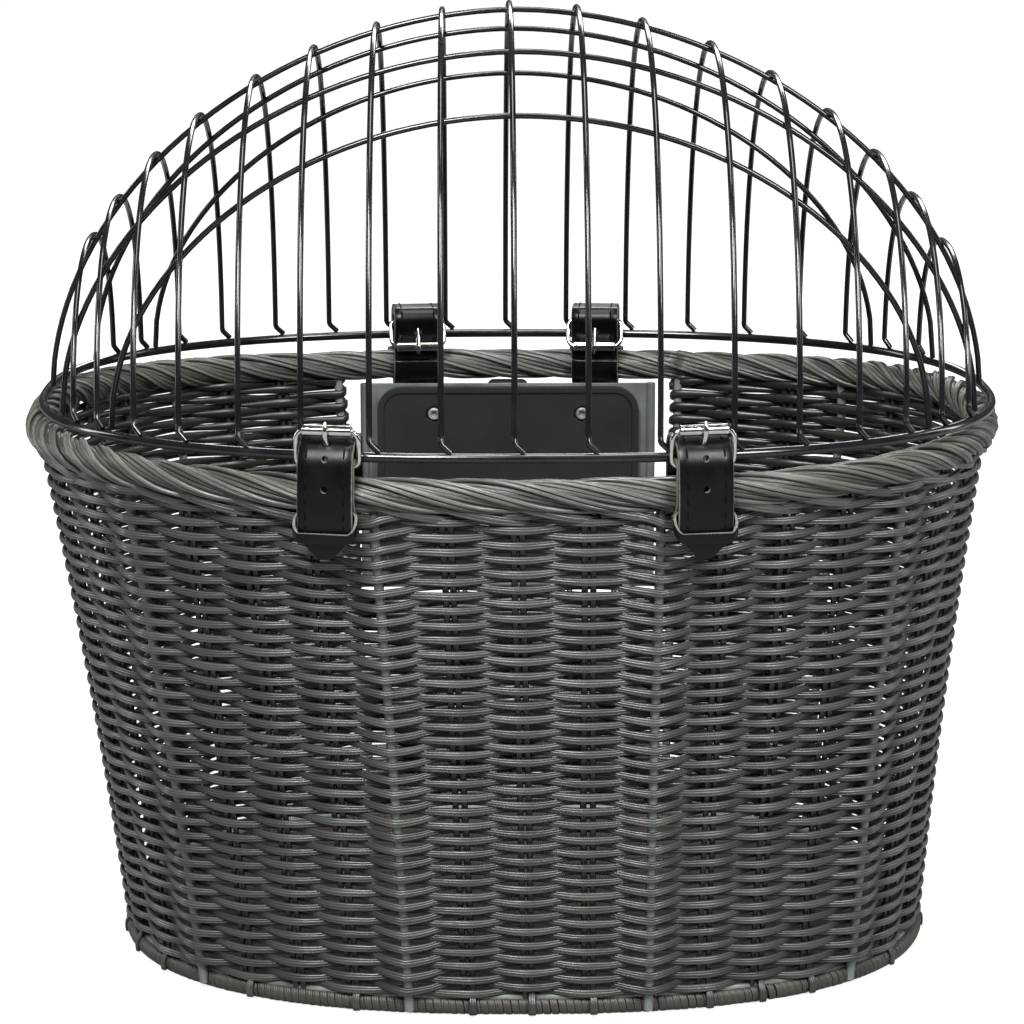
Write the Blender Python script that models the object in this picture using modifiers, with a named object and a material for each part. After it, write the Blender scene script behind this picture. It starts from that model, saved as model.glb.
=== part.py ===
# Dog basket for a bicycle: a woven oval basket, a domed wire lid and four buckled leather straps.
# The origin is the middle of the floor board's underside. +Z is up, -Y is the front of the
# basket and +Y is the side that clips to the handlebar.
# Run it with: blender --background --python part.py

import math
from bisect import bisect

import bmesh
import bpy
from mathutils import Matrix, Vector
from mathutils.geometry import intersect_line_line_2d

mm = 0.001

GAP = 0.3 * mm            # between two pieces that touch
OVERRUN = 4 * mm          # how far a cutter runs past what it cuts
WELD = 0.01 * mm          # points closer than this are one

# Outlines are superellipses: power 2 is an ellipse, a higher one is squarer
OUTLINE_POWER = 2.4
OUTLINE_STEPS = 48
PROBE = 0.01              # small step in an outline's angle, radians, to find its direction
WIRE_SIDES = 6            # flat faces round each wire, border, rod, roller and bend
ROPE_SIDES = 8
ROD_SIDES = 12
ROLLER_SIDES = 14
CORNER_STEPS = 3
BEND_STEPS = 4
LOOP_STEPS = 6
WRAP_STEPS = 8

# Woven basket
RIM_HALF_WIDTH = 212.6 * mm       # middle of the rope border
RIM_HALF_DEPTH = 162.5 * mm
RIM_HEIGHT = 231.5 * mm           # middle of the rope border at the front
RIM_ROPE_RADIUS = 7.5 * mm
RIM_RISE_POWER = 3                # how late the border climbs towards its two ends
BASE_HALF_WIDTH = 184.5 * mm      # outside of the weave at the floor
BASE_HALF_DEPTH = 143 * mm
BASE_SHIFT = 5.5 * mm             # the weave leans: its foot stands this far to the right
WALL_THICKNESS = 5 * mm
WALL_DIP = 2 * mm                 # the sides are slightly hollow between floor and rim
WALL_ROWS = 2                     # steps of the plain inner side
WEAVE_ROWS = 68
STAKE_RELIEF = 2.2 * mm           # strands behind a stake lie this far in
POST_PUSH = 3.6 * mm              # strands beside a post are held out this far
POST_RELIEF = 4.8 * mm            # from those in front of a post to those behind it
POST_SHOULDER = 0.5 * mm          # width of each side of the channel that a post lies in
STAKE_STEPS = 2400               # fine steps round the outline, to space the stakes evenly
stakes_between_posts = (2, 5, 2, 7, 3, 3, 3, 7)      # anticlockwise from the right rear corner's post
BORDER_RADIUS = 3 * mm            # wrapped foot border
BORDER_FLAT = 0.5 * mm            # cut away where it stands
BOARD_THICKNESS = 5 * mm
WINDOW_BOTTOM = 118.5 * mm
WINDOW_EDGE = 2.3 * mm            # how far the weave runs past the window's two posts

# Wire frame inside the weave
FRAME_WIRE_RADIUS = 2 * mm
POST_STEPS = 5
front_post_share = 0.28           # places of the posts, as shares of the half width
corner_post_share = 0.74
WINDOW_ROOM = 13.2 * mm           # from the handlebar plate's edge to the window's posts, at the rim

# Wire lid
RING_END_INSET = 0.2 * mm         # the ring lies this far inside the middle of the rope border
RING_SIDE_INSET = 0.5 * mm
RING_HEIGHT = 247 * mm
RING_RADIUS = 2.1 * mm
RING_SHIFT = 2.3 * mm             # the lid sits this far to the right on the border
DOME_HEIGHT = 173.6 * mm          # ring to crest
DOME_INSET = 1 * mm               # the cross wires lean in this far from the ring
DOME_END_POWER = 1.88             # curve of the crest line, left to right
DOME_SIDE_POWER = 2.17            # curve of the cross wires, front to back
LID_WIRE_RADIUS = 1.3 * mm
RIB_TURN = 18                     # largest turn of a cross wire in one step, degrees
HOOP_GAP = 0.5 * mm               # from a long wire to the cross wires over it
HOOP_END = 6 * mm                 # a cross wire this near to a long wire's end is left out of its path
RIB_FOOT = 4 * mm                 # length of the small bent foot on the ring
rib_shares = (-0.900, -0.845, -0.765, -0.671, -0.551, -0.428, -0.295, -0.157, -0.016,
              0.126, 0.265, 0.409, 0.538, 0.660, 0.761, 0.842, 0.908)
hoop_shares = (-0.667, -0.432, 0.0, 0.432, 0.667)     # of the ring's half depth
hoop_end_shares = (0.06, 0.2, 0.5)                    # of the stretch from the ring to the next cross wire

# Handlebar plates in the rear window
PLATE_HALF_WIDTH = 73.5 * mm
PLATE_TOP = 223.2 * mm
PLATE_HEIGHT = 99.7 * mm
PLATE_THICKNESS = 2 * mm
PLATE_BACK = 153.5 * mm           # how far back the plate's rear face lies
HEM_RADIUS = 2.4 * mm
BACKING_HALF_WIDTH = 65 * mm
BACKING_HEIGHT = 94 * mm
BACKING_THICKNESS = 4 * mm
BACKING_CORNER = 12 * mm
BACKING_DROP = 1.2 * mm           # its top lies this far under the frame plate's top
BOLT_HALF_SPACING = 36.8 * mm
BOLT_TOP_DROP = 14.7 * mm         # under the frame plate's top
BOLT_ROW_SPACING = 64 * mm
BOLT_RADIUS = 2 * mm
BOLT_LENGTH = 17 * mm
BOLT_HEAD_RADIUS = 3 * mm
BOLT_HEAD_HEIGHT = 2 * mm
POCKET_RADIUS = 4.4 * mm          # hex pocket, centre to corner
ADAPTER_HALF_WIDTH = 52 * mm
ADAPTER_HEIGHT = 80 * mm
ADAPTER_TOP = 206 * mm
ADAPTER_THICKNESS = 19 * mm
ADAPTER_CORNER = 9 * mm
TONGUE_HALF_WIDTH = 10 * mm       # the adapter's upper tongue, under the rope border
TONGUE_THICKNESS = 8 * mm

# Straps and buckles. Places in a strap's section are given from the middle of the ring's wire:
# across = away from the ring towards the buckle's side, up = height
LEATHER = 2.3 * mm
ROPE_GAP = 0.7 * mm               # leather to the rope border, which curves a little under a strap
STRAP_WIDTH = 23 * mm
STRAP_HOLE_RADIUS = 1.4 * mm
PRONG_HOLE_RADIUS = 1.9 * mm
BUCKLE_WIRE_RADIUS = 1.1 * mm
BUCKLE_CORNER = 2.2 * mm
BUCKLE_SIDE_GAP = 0.3 * mm
ROLLER_RADIUS = 2.4 * mm
PRONG_RADIUS = 0.9 * mm
PRONG_SLOT = 3.4 * mm             # width of the slot in the leather at the heel bar
PRONG_WINDING = 280               # degrees round the heel bar
PRONG_STEPS = 9
PRONG_REACH = 3 * mm              # how far the tip runs past the roller's middle
PRONG_HOOK = 0.7 * mm
PRONG_HOLE_TURN = 62              # degrees up from level, where the prong meets the front bend
FRONT_HOLES = 2
FRONT_HOLE_RISE = 1 * mm
HOLE_SPACING = 12.4 * mm
REAR_HOLE_RISE = 3 * mm           # where the rear tongue starts to lean out from its roller
KEEPER_LEATHER = 1.2 * mm
KEEPER_HEIGHT = 8 * mm
BEND_RADIUS = 5 * mm              # leather's bend behind the ring, middle of the thickness
FRONT_LOOP_END = 200              # degrees round the heel bar, where the leather's sewn end lies
REAR_LOOP_END = -110
FRONT_TOP = 8 * mm                # leather over the ring, above the ring's middle
FRONT_HEEL_ACROSS = 6.35 * mm
FRONT_HEEL_DROP = 3 * mm
FRONT_BEND = 4.5 * mm             # bend under the roller
FRONT_TIP_DROP = 39 * mm
FRONT_KEEPER_DROP = 30.5 * mm
REAR_HEEL_ACROSS = 7.5 * mm
REAR_HEEL_RISE = 8 * mm
REAR_ROLLER_DROP = 4.5 * mm
REAR_TIP_DROP = 14 * mm
REAR_KEEPER_DROP = 10.5 * mm
TIP_LENGTH = 8.5 * mm
FRONT_SPLIT_DROP = 1.4 * mm       # where the front tongue parts from its band
REAR_SPLIT_DROP = 11.7 * mm
strap_shares = {"front_left": -0.350, "front_right": 0.350,       # of the rope border's half width
                "rear_left": -0.215, "rear_right": 0.2065}
tip_width_shares = (1, 0.93, 0.62, 0.2)     # of the strap's half width, towards the point

# Worked out from the sizes above
WALL_TOP_HALF_WIDTH = RIM_HALF_WIDTH + WALL_THICKNESS / 2
WALL_TOP_HALF_DEPTH = RIM_HALF_DEPTH + WALL_THICKNESS / 2
RING_HALF_WIDTH = RIM_HALF_WIDTH - RING_END_INSET
RING_HALF_DEPTH = RIM_HALF_DEPTH - RING_SIDE_INSET
DOME_HALF_DEPTH = RING_HALF_DEPTH - DOME_INSET
rear_post_share = (PLATE_HALF_WIDTH + WINDOW_ROOM) / WALL_TOP_HALF_WIDTH
RIM_RISE = RING_HEIGHT - RING_RADIUS - GAP - RIM_ROPE_RADIUS - RIM_HEIGHT
WALL_LEAN = WALL_THICKNESS * (WALL_TOP_HALF_WIDTH - BASE_HALF_WIDTH) / RIM_HEIGHT   # inner edge above outer
BORDER_TOP = 2 * BORDER_RADIUS - BORDER_FLAT
BOTTOM_RING_HEIGHT = BORDER_TOP + GAP + FRAME_WIRE_RADIUS
WALL_BOTTOM = BOTTOM_RING_HEIGHT + FRAME_WIRE_RADIUS + GAP
PLATE_BOTTOM = PLATE_TOP - PLATE_HEIGHT
RAIL_HEIGHT = PLATE_BOTTOM - GAP - FRAME_WIRE_RADIUS
PLATE_FRONT = PLATE_BACK - PLATE_THICKNESS
HALF_STRAP = STRAP_WIDTH / 2
BUCKLE_HALF_WIDTH = HALF_STRAP + BUCKLE_SIDE_GAP + BUCKLE_WIRE_RADIUS
LAYER = LEATHER + GAP             # from one layer of leather to the next
ROPE_DROP = RING_HEIGHT - RIM_HEIGHT
ROPE_WRAP = RIM_ROPE_RADIUS + ROPE_GAP + LEATHER / 2
HEEL_LOOP = BUCKLE_WIRE_RADIUS + GAP + LEATHER / 2


# Scene and materials

for old in list(bpy.data.objects):
    bpy.data.objects.remove(old)

basket = bpy.data.collections.new("dog_basket")
guides = bpy.data.collections.new("guides")
for collection in (basket, guides):
    bpy.context.scene.collection.children.link(collection)


def material(name, colour, roughness, metallic=0.0):
    mat = bpy.data.materials.new(name)
    mat.use_nodes = True
    shader = mat.node_tree.nodes["Principled BSDF"]
    shader.inputs["Base Color"].default_value = (*colour, 1)
    shader.inputs["Roughness"].default_value = roughness
    shader.inputs["Metallic"].default_value = metallic
    mat.diffuse_color = (*colour, 1)
    return mat


woven = material("woven_strand", (0.095, 0.098, 0.088), 0.45)
black_wire = material("black_wire", (0.012, 0.012, 0.013), 0.3)
grey_wire = material("grey_wire", (0.33, 0.38, 0.36), 0.4, 0.5)
zinc = material("zinc_sheet", (0.42, 0.47, 0.48), 0.35, 0.9)
black_plastic = material("black_plastic", (0.018, 0.018, 0.019), 0.5)
leather = material("black_leather", (0.014, 0.014, 0.016), 0.45)
chrome = material("chrome", (0.75, 0.74, 0.72), 0.12, 1.0)
plywood = material("plywood", (0.34, 0.22, 0.13), 0.7)


# Making objects

def add_object(name, data, mat, collection=basket):
    obj = bpy.data.objects.new(name, data)
    data.materials.append(mat)
    collection.objects.link(obj)
    return obj


def hide_as_guide(obj):
    obj.hide_render = True
    obj.display_type = "WIRE"
    return obj


def tube(name, points, radius, mat, closed=False, sides=WIRE_SIDES, collection=basket):
    curve = bpy.data.curves.new(name, "CURVE")
    curve.dimensions = "3D"
    curve.bevel_depth = radius
    curve.bevel_resolution = sides // 2 - 2
    curve.use_fill_caps = True
    spline = curve.splines.new("POLY")
    spline.points.add(len(points) - 1)
    for spot, place in zip(spline.points, points):
        spot.co = (*place, 1)
    spline.use_cyclic_u = closed
    return add_object(name, curve, mat, collection)


def flat_shape(name, outline, thickness, mat, collection=basket):
    curve = bpy.data.curves.new(name, "CURVE")
    curve.dimensions = "2D"
    curve.fill_mode = "BOTH"
    curve.extrude = thickness / 2
    spline = curve.splines.new("POLY")
    spline.points.add(len(outline) - 1)
    for spot, (x, y) in zip(spline.points, outline):
        spot.co = (x, y, 0, 1)
    spline.use_cyclic_u = True
    return add_object(name, curve, mat, collection)


def as_mesh(obj):
    # a curve takes no Boolean, so it is replaced by its evaluated mesh, with the caps welded on
    bpy.context.view_layer.update()
    evaluated = obj.evaluated_get(bpy.context.evaluated_depsgraph_get())
    mesh = bpy.data.meshes.new_from_object(evaluated)
    bm = bmesh.new()
    bm.from_mesh(mesh)
    bmesh.ops.remove_doubles(bm, verts=bm.verts, dist=WELD)
    bmesh.ops.recalc_face_normals(bm, faces=bm.faces)
    bm.to_mesh(mesh)
    bm.free()
    name, place, collection = obj.name, obj.matrix_world.copy(), obj.users_collection[0]
    bpy.data.objects.remove(obj)
    solid = bpy.data.objects.new(name, mesh)
    solid.matrix_world = place
    collection.objects.link(solid)
    return solid


def block(name, low, high, mat, collection=basket):
    bm = bmesh.new()
    bmesh.ops.create_cube(bm, size=1)
    centre = (Vector(low) + Vector(high)) / 2
    size = Vector(high) - Vector(low)
    bmesh.ops.scale(bm, vec=size, verts=bm.verts)
    bmesh.ops.translate(bm, vec=centre, verts=bm.verts)
    mesh = bpy.data.meshes.new(name)
    bm.to_mesh(mesh)
    bm.free()
    return add_object(name, mesh, mat, collection)


def rod(name, radius, low, high, mat, sides=ROD_SIDES, collection=basket):
    # a cylinder along its own Z from low to high
    bm = bmesh.new()
    bmesh.ops.create_cone(bm, cap_ends=True, segments=sides, radius1=radius, radius2=radius, depth=high - low)
    bmesh.ops.translate(bm, vec=Vector((0, 0, (low + high) / 2)), verts=bm.verts)
    mesh = bpy.data.meshes.new(name)
    bm.to_mesh(mesh)
    bm.free()
    return add_object(name, mesh, mat, collection)


def boolean(obj, other, operation):
    step = obj.modifiers.new(other.name, "BOOLEAN")
    step.operation = operation
    step.object = other
    step.solver = "EXACT"


def cut(obj, *cutters):
    for cutter in cutters:
        boolean(obj, hide_as_guide(cutter), "DIFFERENCE")


def fuse(obj, *others):
    for other in others:
        boolean(obj, hide_as_guide(other), "UNION")


# Outlines

def superellipse(angle, half_x, half_y, power=OUTLINE_POWER):
    c = math.cos(angle)
    s = math.sin(angle)
    x = half_x * math.copysign(abs(c) ** (2 / power), c)
    y = half_y * math.copysign(abs(s) ** (2 / power), s)
    return x, y


def even_angles(count, half_x, half_y, fine_steps=4000):
    # angles that divide the outline into equal lengths
    fine = [2 * math.pi * i / fine_steps for i in range(fine_steps + 1)]
    lengths = [0.0]
    for a, b in zip(fine, fine[1:]):
        run = math.dist(superellipse(a, half_x, half_y), superellipse(b, half_x, half_y))
        lengths.append(lengths[-1] + run)
    angles = []
    index = 0
    for step in range(count):
        wanted = lengths[-1] * step / count
        while lengths[index + 1] < wanted:
            index += 1
        angles.append(fine[index])
    return angles


def share_angle(share, rear):
    # the angle at which the outline has reached that share of its half width
    angle = math.acos(math.copysign(abs(share) ** (OUTLINE_POWER / 2), share))
    return angle if rear else -angle


angles = even_angles(OUTLINE_STEPS, RIM_HALF_WIDTH, RIM_HALF_DEPTH)


def wall_sizes(height):
    # half width, half depth and shift of the outside of the weave at a height
    share = height / RIM_HEIGHT
    dip = 4 * share * (1 - share) * WALL_DIP
    half_x = BASE_HALF_WIDTH + (WALL_TOP_HALF_WIDTH - BASE_HALF_WIDTH) * share - dip
    half_y = BASE_HALF_DEPTH + (WALL_TOP_HALF_DEPTH - BASE_HALF_DEPTH) * share - dip
    return half_x, half_y, BASE_SHIFT * (1 - share)


def wall_point(angle, height, inset=0):
    half_x, half_y, shift = wall_sizes(height)
    x, y = superellipse(angle, half_x - inset, half_y - inset)
    return Vector((x + shift, y, height))


def rim_point(angle):
    x, y = superellipse(angle, RIM_HALF_WIDTH, RIM_HALF_DEPTH)
    return Vector((x, y, RIM_HEIGHT + RIM_RISE * abs(x / RIM_HALF_WIDTH) ** RIM_RISE_POWER))


# Straps: a path is a list of (across, up, half width) in the strap's own section

def arc(centre, radius, start, end, steps=BEND_STEPS, half=HALF_STRAP):
    points = []
    for i in range(steps + 1):
        turn = math.radians(start + (end - start) * i / steps)
        points.append((centre[0] + radius * math.cos(turn), centre[1] + radius * math.sin(turn), half))
    return points


def tip(across, low, half=HALF_STRAP):
    # the shield-shaped point at the end of a tongue that hangs down
    points = []
    for i, share in enumerate(tip_width_shares):
        points.append((across, low + TIP_LENGTH * (1 - i / (len(tip_width_shares) - 1)), half * share))
    return points


def front_band():
    # heel loop, down in front of the rope border, under it and up behind the ring
    heel = (FRONT_HEEL_ACROSS, -FRONT_HEEL_DROP)
    rope = (0, -ROPE_DROP)
    loop = arc(heel, HEEL_LOOP, FRONT_LOOP_END, 0, LOOP_STEPS)
    under = arc(rope, ROPE_WRAP, 0, -180, WRAP_STEPS)
    up = [(-ROPE_WRAP, -FRONT_SPLIT_DROP - GAP, HALF_STRAP)]
    return loop + under + up


def front_tongue():
    bend = (-ROPE_WRAP + BEND_RADIUS, FRONT_TOP - BEND_RADIUS)
    outer = ROPE_WRAP + LAYER
    under_roller = (outer - FRONT_BEND, FRONT_TOP - FRONT_BEND)
    start = [(-ROPE_WRAP, -FRONT_SPLIT_DROP + GAP, HALF_STRAP)]
    over = arc(bend, BEND_RADIUS, 180, 90) + arc(under_roller, FRONT_BEND, 90, 0)
    return start + over + tip(outer, -FRONT_TIP_DROP)


def rear_band():
    # heel loop, over the ring to the outside, down, under the rope border and up inside
    heel = (REAR_HEEL_ACROSS, REAR_HEEL_RISE)
    bend = (-ROPE_WRAP + BEND_RADIUS, REAR_HEEL_RISE + HEEL_LOOP - BEND_RADIUS)
    rope = (0, -ROPE_DROP)
    loop = arc(heel, HEEL_LOOP, REAR_LOOP_END, 90, LOOP_STEPS)
    under = arc(rope, ROPE_WRAP, 180, 360, WRAP_STEPS)
    up = [(ROPE_WRAP, -REAR_SPLIT_DROP - GAP, HALF_STRAP)]
    return loop + arc(bend, BEND_RADIUS, 90, 180) + under + up


def rear_tongue():
    heel = (REAR_HEEL_ACROSS, REAR_HEEL_RISE)
    bend = (-ROPE_WRAP + BEND_RADIUS, REAR_HEEL_RISE + HEEL_LOOP - BEND_RADIUS)
    start = [(ROPE_WRAP, -REAR_SPLIT_DROP + GAP, HALF_STRAP),
             (ROPE_WRAP, -REAR_ROLLER_DROP + REAR_HOLE_RISE, HALF_STRAP)]
    over = arc(heel, HEEL_LOOP + LAYER, 0, 90)
    return start + over + arc(bend, BEND_RADIUS + LAYER, 90, 180) + tip(-ROPE_WRAP - LAYER, -REAR_TIP_DROP)


def ribbon(name, path, mat, place):
    # an open strip of leather with its thickness on both sides of the path
    bm = bmesh.new()
    rows = []
    for across, up, half in path:
        rows.append((bm.verts.new((-half, across, up)), bm.verts.new((half, across, up))))
    for (a, b), (c, d) in zip(rows, rows[1:]):
        bm.faces.new((a, b, d, c))
    mesh = bpy.data.meshes.new(name)
    bm.to_mesh(mesh)
    bm.free()
    obj = add_object(name, mesh, mat)
    obj.matrix_world = place
    wall = obj.modifiers.new("leather", "SOLIDIFY")
    wall.thickness = LEATHER
    wall.offset = 0
    wall.use_even_offset = True
    return obj


def hole_through(name, middle, direction, radius, place):
    # a round cutter through the leather at a point of the section, along a direction in it
    cutter = rod(name, radius, -LEATHER, LEATHER, leather, sides=ROPE_SIDES, collection=guides)
    aim = Vector((0, *direction)).to_track_quat("Z", "X").to_matrix().to_4x4()
    cutter.matrix_world = place @ Matrix.Translation(Vector((0, *middle))) @ aim
    return cutter


def strap_place(where):
    # the strap's own frame: Y across the rope border towards the buckle, Z up, origin above the
    # border's middle by as much as the ring lies above it
    rear = where.startswith("rear")
    angle = share_angle(strap_shares[where], rear)
    step = rim_point(angle + PROBE) - rim_point(angle - PROBE)
    outward = Vector((step.y, -step.x, 0)).normalized()
    across = -outward if rear else outward
    along = across.cross(Vector((0, 0, 1)))
    turn = Matrix((along, across, (0, 0, 1))).transposed().to_4x4()
    return Matrix.Translation(rim_point(angle) + Vector((0, 0, ROPE_DROP))) @ turn


def buckle(where, place, heel, roller):
    heel_spot = Vector((0, *heel))
    roller_spot = Vector((0, *roller))
    climb = roller_spot - heel_spot
    up = climb.normalized()
    half = BUCKLE_HALF_WIDTH
    points = []
    for sx, end, away in ((-1, heel_spot, -1), (1, heel_spot, -1), (1, roller_spot, 1), (-1, roller_spot, 1)):
        corner = end + Vector((sx * half, 0, 0))
        inside_x = Vector((-sx * BUCKLE_CORNER, 0, 0))
        inside_up = up * (-away * BUCKLE_CORNER)
        bend = []
        for i in range(CORNER_STEPS + 1):
            turn = math.pi / 2 * i / CORNER_STEPS
            bend.append(corner + inside_x * (1 - math.sin(turn)) + inside_up * (1 - math.cos(turn)))
        points += bend if sx * away < 0 else bend[::-1]
    frame = tube("buckle_" + where + "_frame", points, BUCKLE_WIRE_RADIUS, chrome, closed=True)
    frame.matrix_world = place

    # roller: a short pipe, turned about its own Z and laid along the bar
    pipe_half = half - BUCKLE_CORNER - GAP
    bore = BUCKLE_WIRE_RADIUS + GAP
    bm = bmesh.new()
    profile = [(ROLLER_RADIUS, pipe_half), (ROLLER_RADIUS, -pipe_half), (bore, -pipe_half), (bore, pipe_half)]
    corners = [bm.verts.new((r, 0, z)) for r, z in profile]
    for a, b in zip(corners, corners[1:] + corners[:1]):
        bm.edges.new((a, b))
    mesh = bpy.data.meshes.new("roller")
    bm.to_mesh(mesh)
    bm.free()
    pipe = add_object("buckle_" + where + "_roller", mesh, chrome)
    pipe.matrix_world = place @ Matrix.Translation(roller_spot) @ Matrix.Rotation(math.pi / 2, 4, "Y")
    turned = pipe.modifiers.new("turn", "SCREW")
    turned.steps = ROLLER_SIDES
    turned.render_steps = ROLLER_SIDES
    turned.use_merge_vertices = True
    turned.merge_threshold = WELD


def prong(where, place, heel, winding, route):
    # a wire wound round the heel bar, then led through the leather and over the roller
    radius = BUCKLE_WIRE_RADIUS + GAP + PRONG_RADIUS
    points = []
    for i in range(PRONG_STEPS + 1):
        turn = math.radians(winding * (i / PRONG_STEPS - 1))
        points.append((0, heel[0] + radius * math.cos(turn), heel[1] + radius * math.sin(turn)))
    points += [(0, *spot) for spot in route]
    wire = tube("buckle_" + where + "_prong", points, PRONG_RADIUS, chrome)
    wire.matrix_world = place


def keeper(where, place, inner, outer, low, half):
    # a flat leather loop round the strap, between two places in the section
    wall = KEEPER_LEATHER + GAP
    high = low + KEEPER_HEIGHT
    near = inner - LEATHER / 2
    far = outer + LEATHER / 2
    loop = block("strap_" + where + "_keeper", (-half - wall, near - wall, low),
                 (half + wall, far + wall, high), leather)
    hollow = block("keeper_hollow_" + where, (-half - GAP, near - GAP, low - OVERRUN),
                   (half + GAP, far + GAP, high + OVERRUN), leather, guides)
    cut(loop, hollow)
    loop.matrix_world = place
    hollow.matrix_world = place


# Floor

def floor_board():
    inset = 2 * BORDER_RADIUS + GAP
    outline = []
    for angle in angles:
        x, y = superellipse(angle, BASE_HALF_WIDTH - inset, BASE_HALF_DEPTH - inset)
        outline.append((x, y))
    board = flat_shape("floor_board", outline, BOARD_THICKNESS, plywood)
    board.location = (BASE_SHIFT, 0, BOARD_THICKNESS / 2)


def base_border():
    path = []
    for angle in angles:
        x, y = superellipse(angle, BASE_HALF_WIDTH - BORDER_RADIUS, BASE_HALF_DEPTH - BORDER_RADIUS)
        path.append((x + BASE_SHIFT, y, BORDER_RADIUS - BORDER_FLAT))
    border = as_mesh(tube("base_border", path, BORDER_RADIUS, woven, closed=True, sides=ROPE_SIDES))
    reach = BASE_HALF_WIDTH + BASE_SHIFT + OVERRUN
    cut(border, block("floor_cut", (-reach, -reach, -OVERRUN), (reach, reach, 0), woven, guides))


# Wire frame: the same wires, thicker, cut their way through the weave and the rope border

posts = {"front_left": (-front_post_share, False), "front_right": (front_post_share, False),
         "corner_front_left": (-corner_post_share, False), "corner_front_right": (corner_post_share, False),
         "corner_rear_left": (-corner_post_share, True), "corner_rear_right": (corner_post_share, True),
         "window_left": (-rear_post_share, True), "window_right": (rear_post_share, True)}


def post_path(share, rear):
    angle = share_angle(share, rear)
    top = rim_point(angle)
    low = wall_point(angle, BOTTOM_RING_HEIGHT, FRAME_WIRE_RADIUS)
    start = BOTTOM_RING_HEIGHT + 2 * FRAME_WIRE_RADIUS
    end = top.z - RIM_ROPE_RADIUS
    path = [low]
    for i in range(POST_STEPS):
        path.append(wall_point(angle, start + (end - start) * i / (POST_STEPS - 1)))
    return path + [top]


def top_ring(name, radius, collection):
    return as_mesh(tube(name, [rim_point(angle) for angle in angles], radius, grey_wire, closed=True,
                        collection=collection))


def post_wires(prefix, radius):
    wires = []
    for name, (share, rear) in posts.items():
        wire = tube(prefix + name, post_path(share, rear), radius, grey_wire, collection=guides)
        wires.append(as_mesh(wire))
    return wires


def window_half_width(height):
    # the weave ends this far from the middle, just inside the window's two posts
    x = wall_point(share_angle(rear_post_share, True), height).x - BASE_SHIFT * (1 - height / RIM_HEIGHT)
    return x - FRAME_WIRE_RADIUS - WINDOW_EDGE


def plate_rail(name, radius):
    # the cross wire between the window's two posts, on which the frame plate stands
    left = wall_point(share_angle(-rear_post_share, True), RAIL_HEIGHT)
    right = wall_point(share_angle(rear_post_share, True), RAIL_HEIGHT)
    middle = PLATE_BACK - PLATE_THICKNESS / 2
    half = PLATE_HALF_WIDTH - HEM_RADIUS
    path = [left, (-half, middle, RAIL_HEIGHT), (half, middle, RAIL_HEIGHT), right]
    return as_mesh(tube(name, path, radius, grey_wire, collection=guides))


def wire_frame():
    frame = top_ring("wire_frame", FRAME_WIRE_RADIUS, basket)
    ring = [wall_point(angle, BOTTOM_RING_HEIGHT, FRAME_WIRE_RADIUS) for angle in angles]
    low = as_mesh(tube("bottom_ring", ring, FRAME_WIRE_RADIUS, grey_wire, closed=True, collection=guides))
    fuse(frame, low, *post_wires("post_", FRAME_WIRE_RADIUS), plate_rail("plate_rail", FRAME_WIRE_RADIUS))


def rim_border(room_for_posts):
    border = as_mesh(tube("rim_border", [rim_point(angle) for angle in angles], RIM_ROPE_RADIUS, woven,
                          closed=True, sides=ROPE_SIDES))
    cut(border, top_ring("ring_room", FRAME_WIRE_RADIUS + GAP, guides), *room_for_posts)


def stake_places():
    # angles of the posts and of the stakes between them, evenly spaced from post to post
    even = even_angles(STAKE_STEPS, RIM_HALF_WIDTH, RIM_HALF_DEPTH)
    full_turn = 2 * math.pi
    found = sorted(bisect(even, share_angle(share, rear) % full_turn) for share, rear in posts.values())
    places = []
    for start, end, between in zip(found, found[1:] + [found[0] + STAKE_STEPS], stakes_between_posts):
        for i in range(between + 1):
            spot = start + (end - start) * i // (between + 1)
            places.append((even[spot % STAKE_STEPS], i == 0))
    return places


def weave_columns():
    # upright lines of the weave's surface: angle, place beside it, and the insets of strands in
    # front and behind. A post lies in a channel between two of them.
    near = FRAME_WIRE_RADIUS + GAP
    far = near + POST_SHOULDER
    columns = []
    for number, (angle, is_post) in enumerate(stake_places()):
        if is_post:
            shoulder = (-POST_PUSH, POST_RELIEF - POST_PUSH)
            columns += [(number, angle, -far, *shoulder), (number, angle, -near, near, near),
                        (number, angle, near, near, near), (number, angle, far, *shoulder)]
        else:
            columns.append((number, angle, 0, 0, STAKE_RELIEF))
    return columns


def wall_beside(angle, height, sideways, inset):
    ahead = wall_point(angle + PROBE, height) - wall_point(angle - PROBE, height)
    return wall_point(angle + sideways * 2 * PROBE / ahead.length, height, inset)


def weave_column(bm, column):
    # the line's points from the foot to the rim, outside and inside, and which ones stand out
    number, angle, sideways, front_inset, back_inset = column
    top = rim_point(angle).z - RIM_ROPE_RADIUS - GAP - WALL_LEAN
    outside, stands_out, inside = [], [], []
    for row in range(WEAVE_ROWS):
        height = WALL_BOTTOM + (top - WALL_BOTTOM) * row / (WEAVE_ROWS - 1)
        in_front = (number + row) % 2 == 1
        inset = front_inset if in_front else back_inset
        outside.append(bm.verts.new(wall_beside(angle, height, sideways, inset)))
        stands_out.append(in_front)
    for row in range(WALL_ROWS + 1):
        height = WALL_BOTTOM + (top - WALL_BOTTOM) * row / WALL_ROWS
        inside.append(bm.verts.new(wall_beside(angle, height, sideways, WALL_THICKNESS)))
    return outside, stands_out, inside


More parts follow.
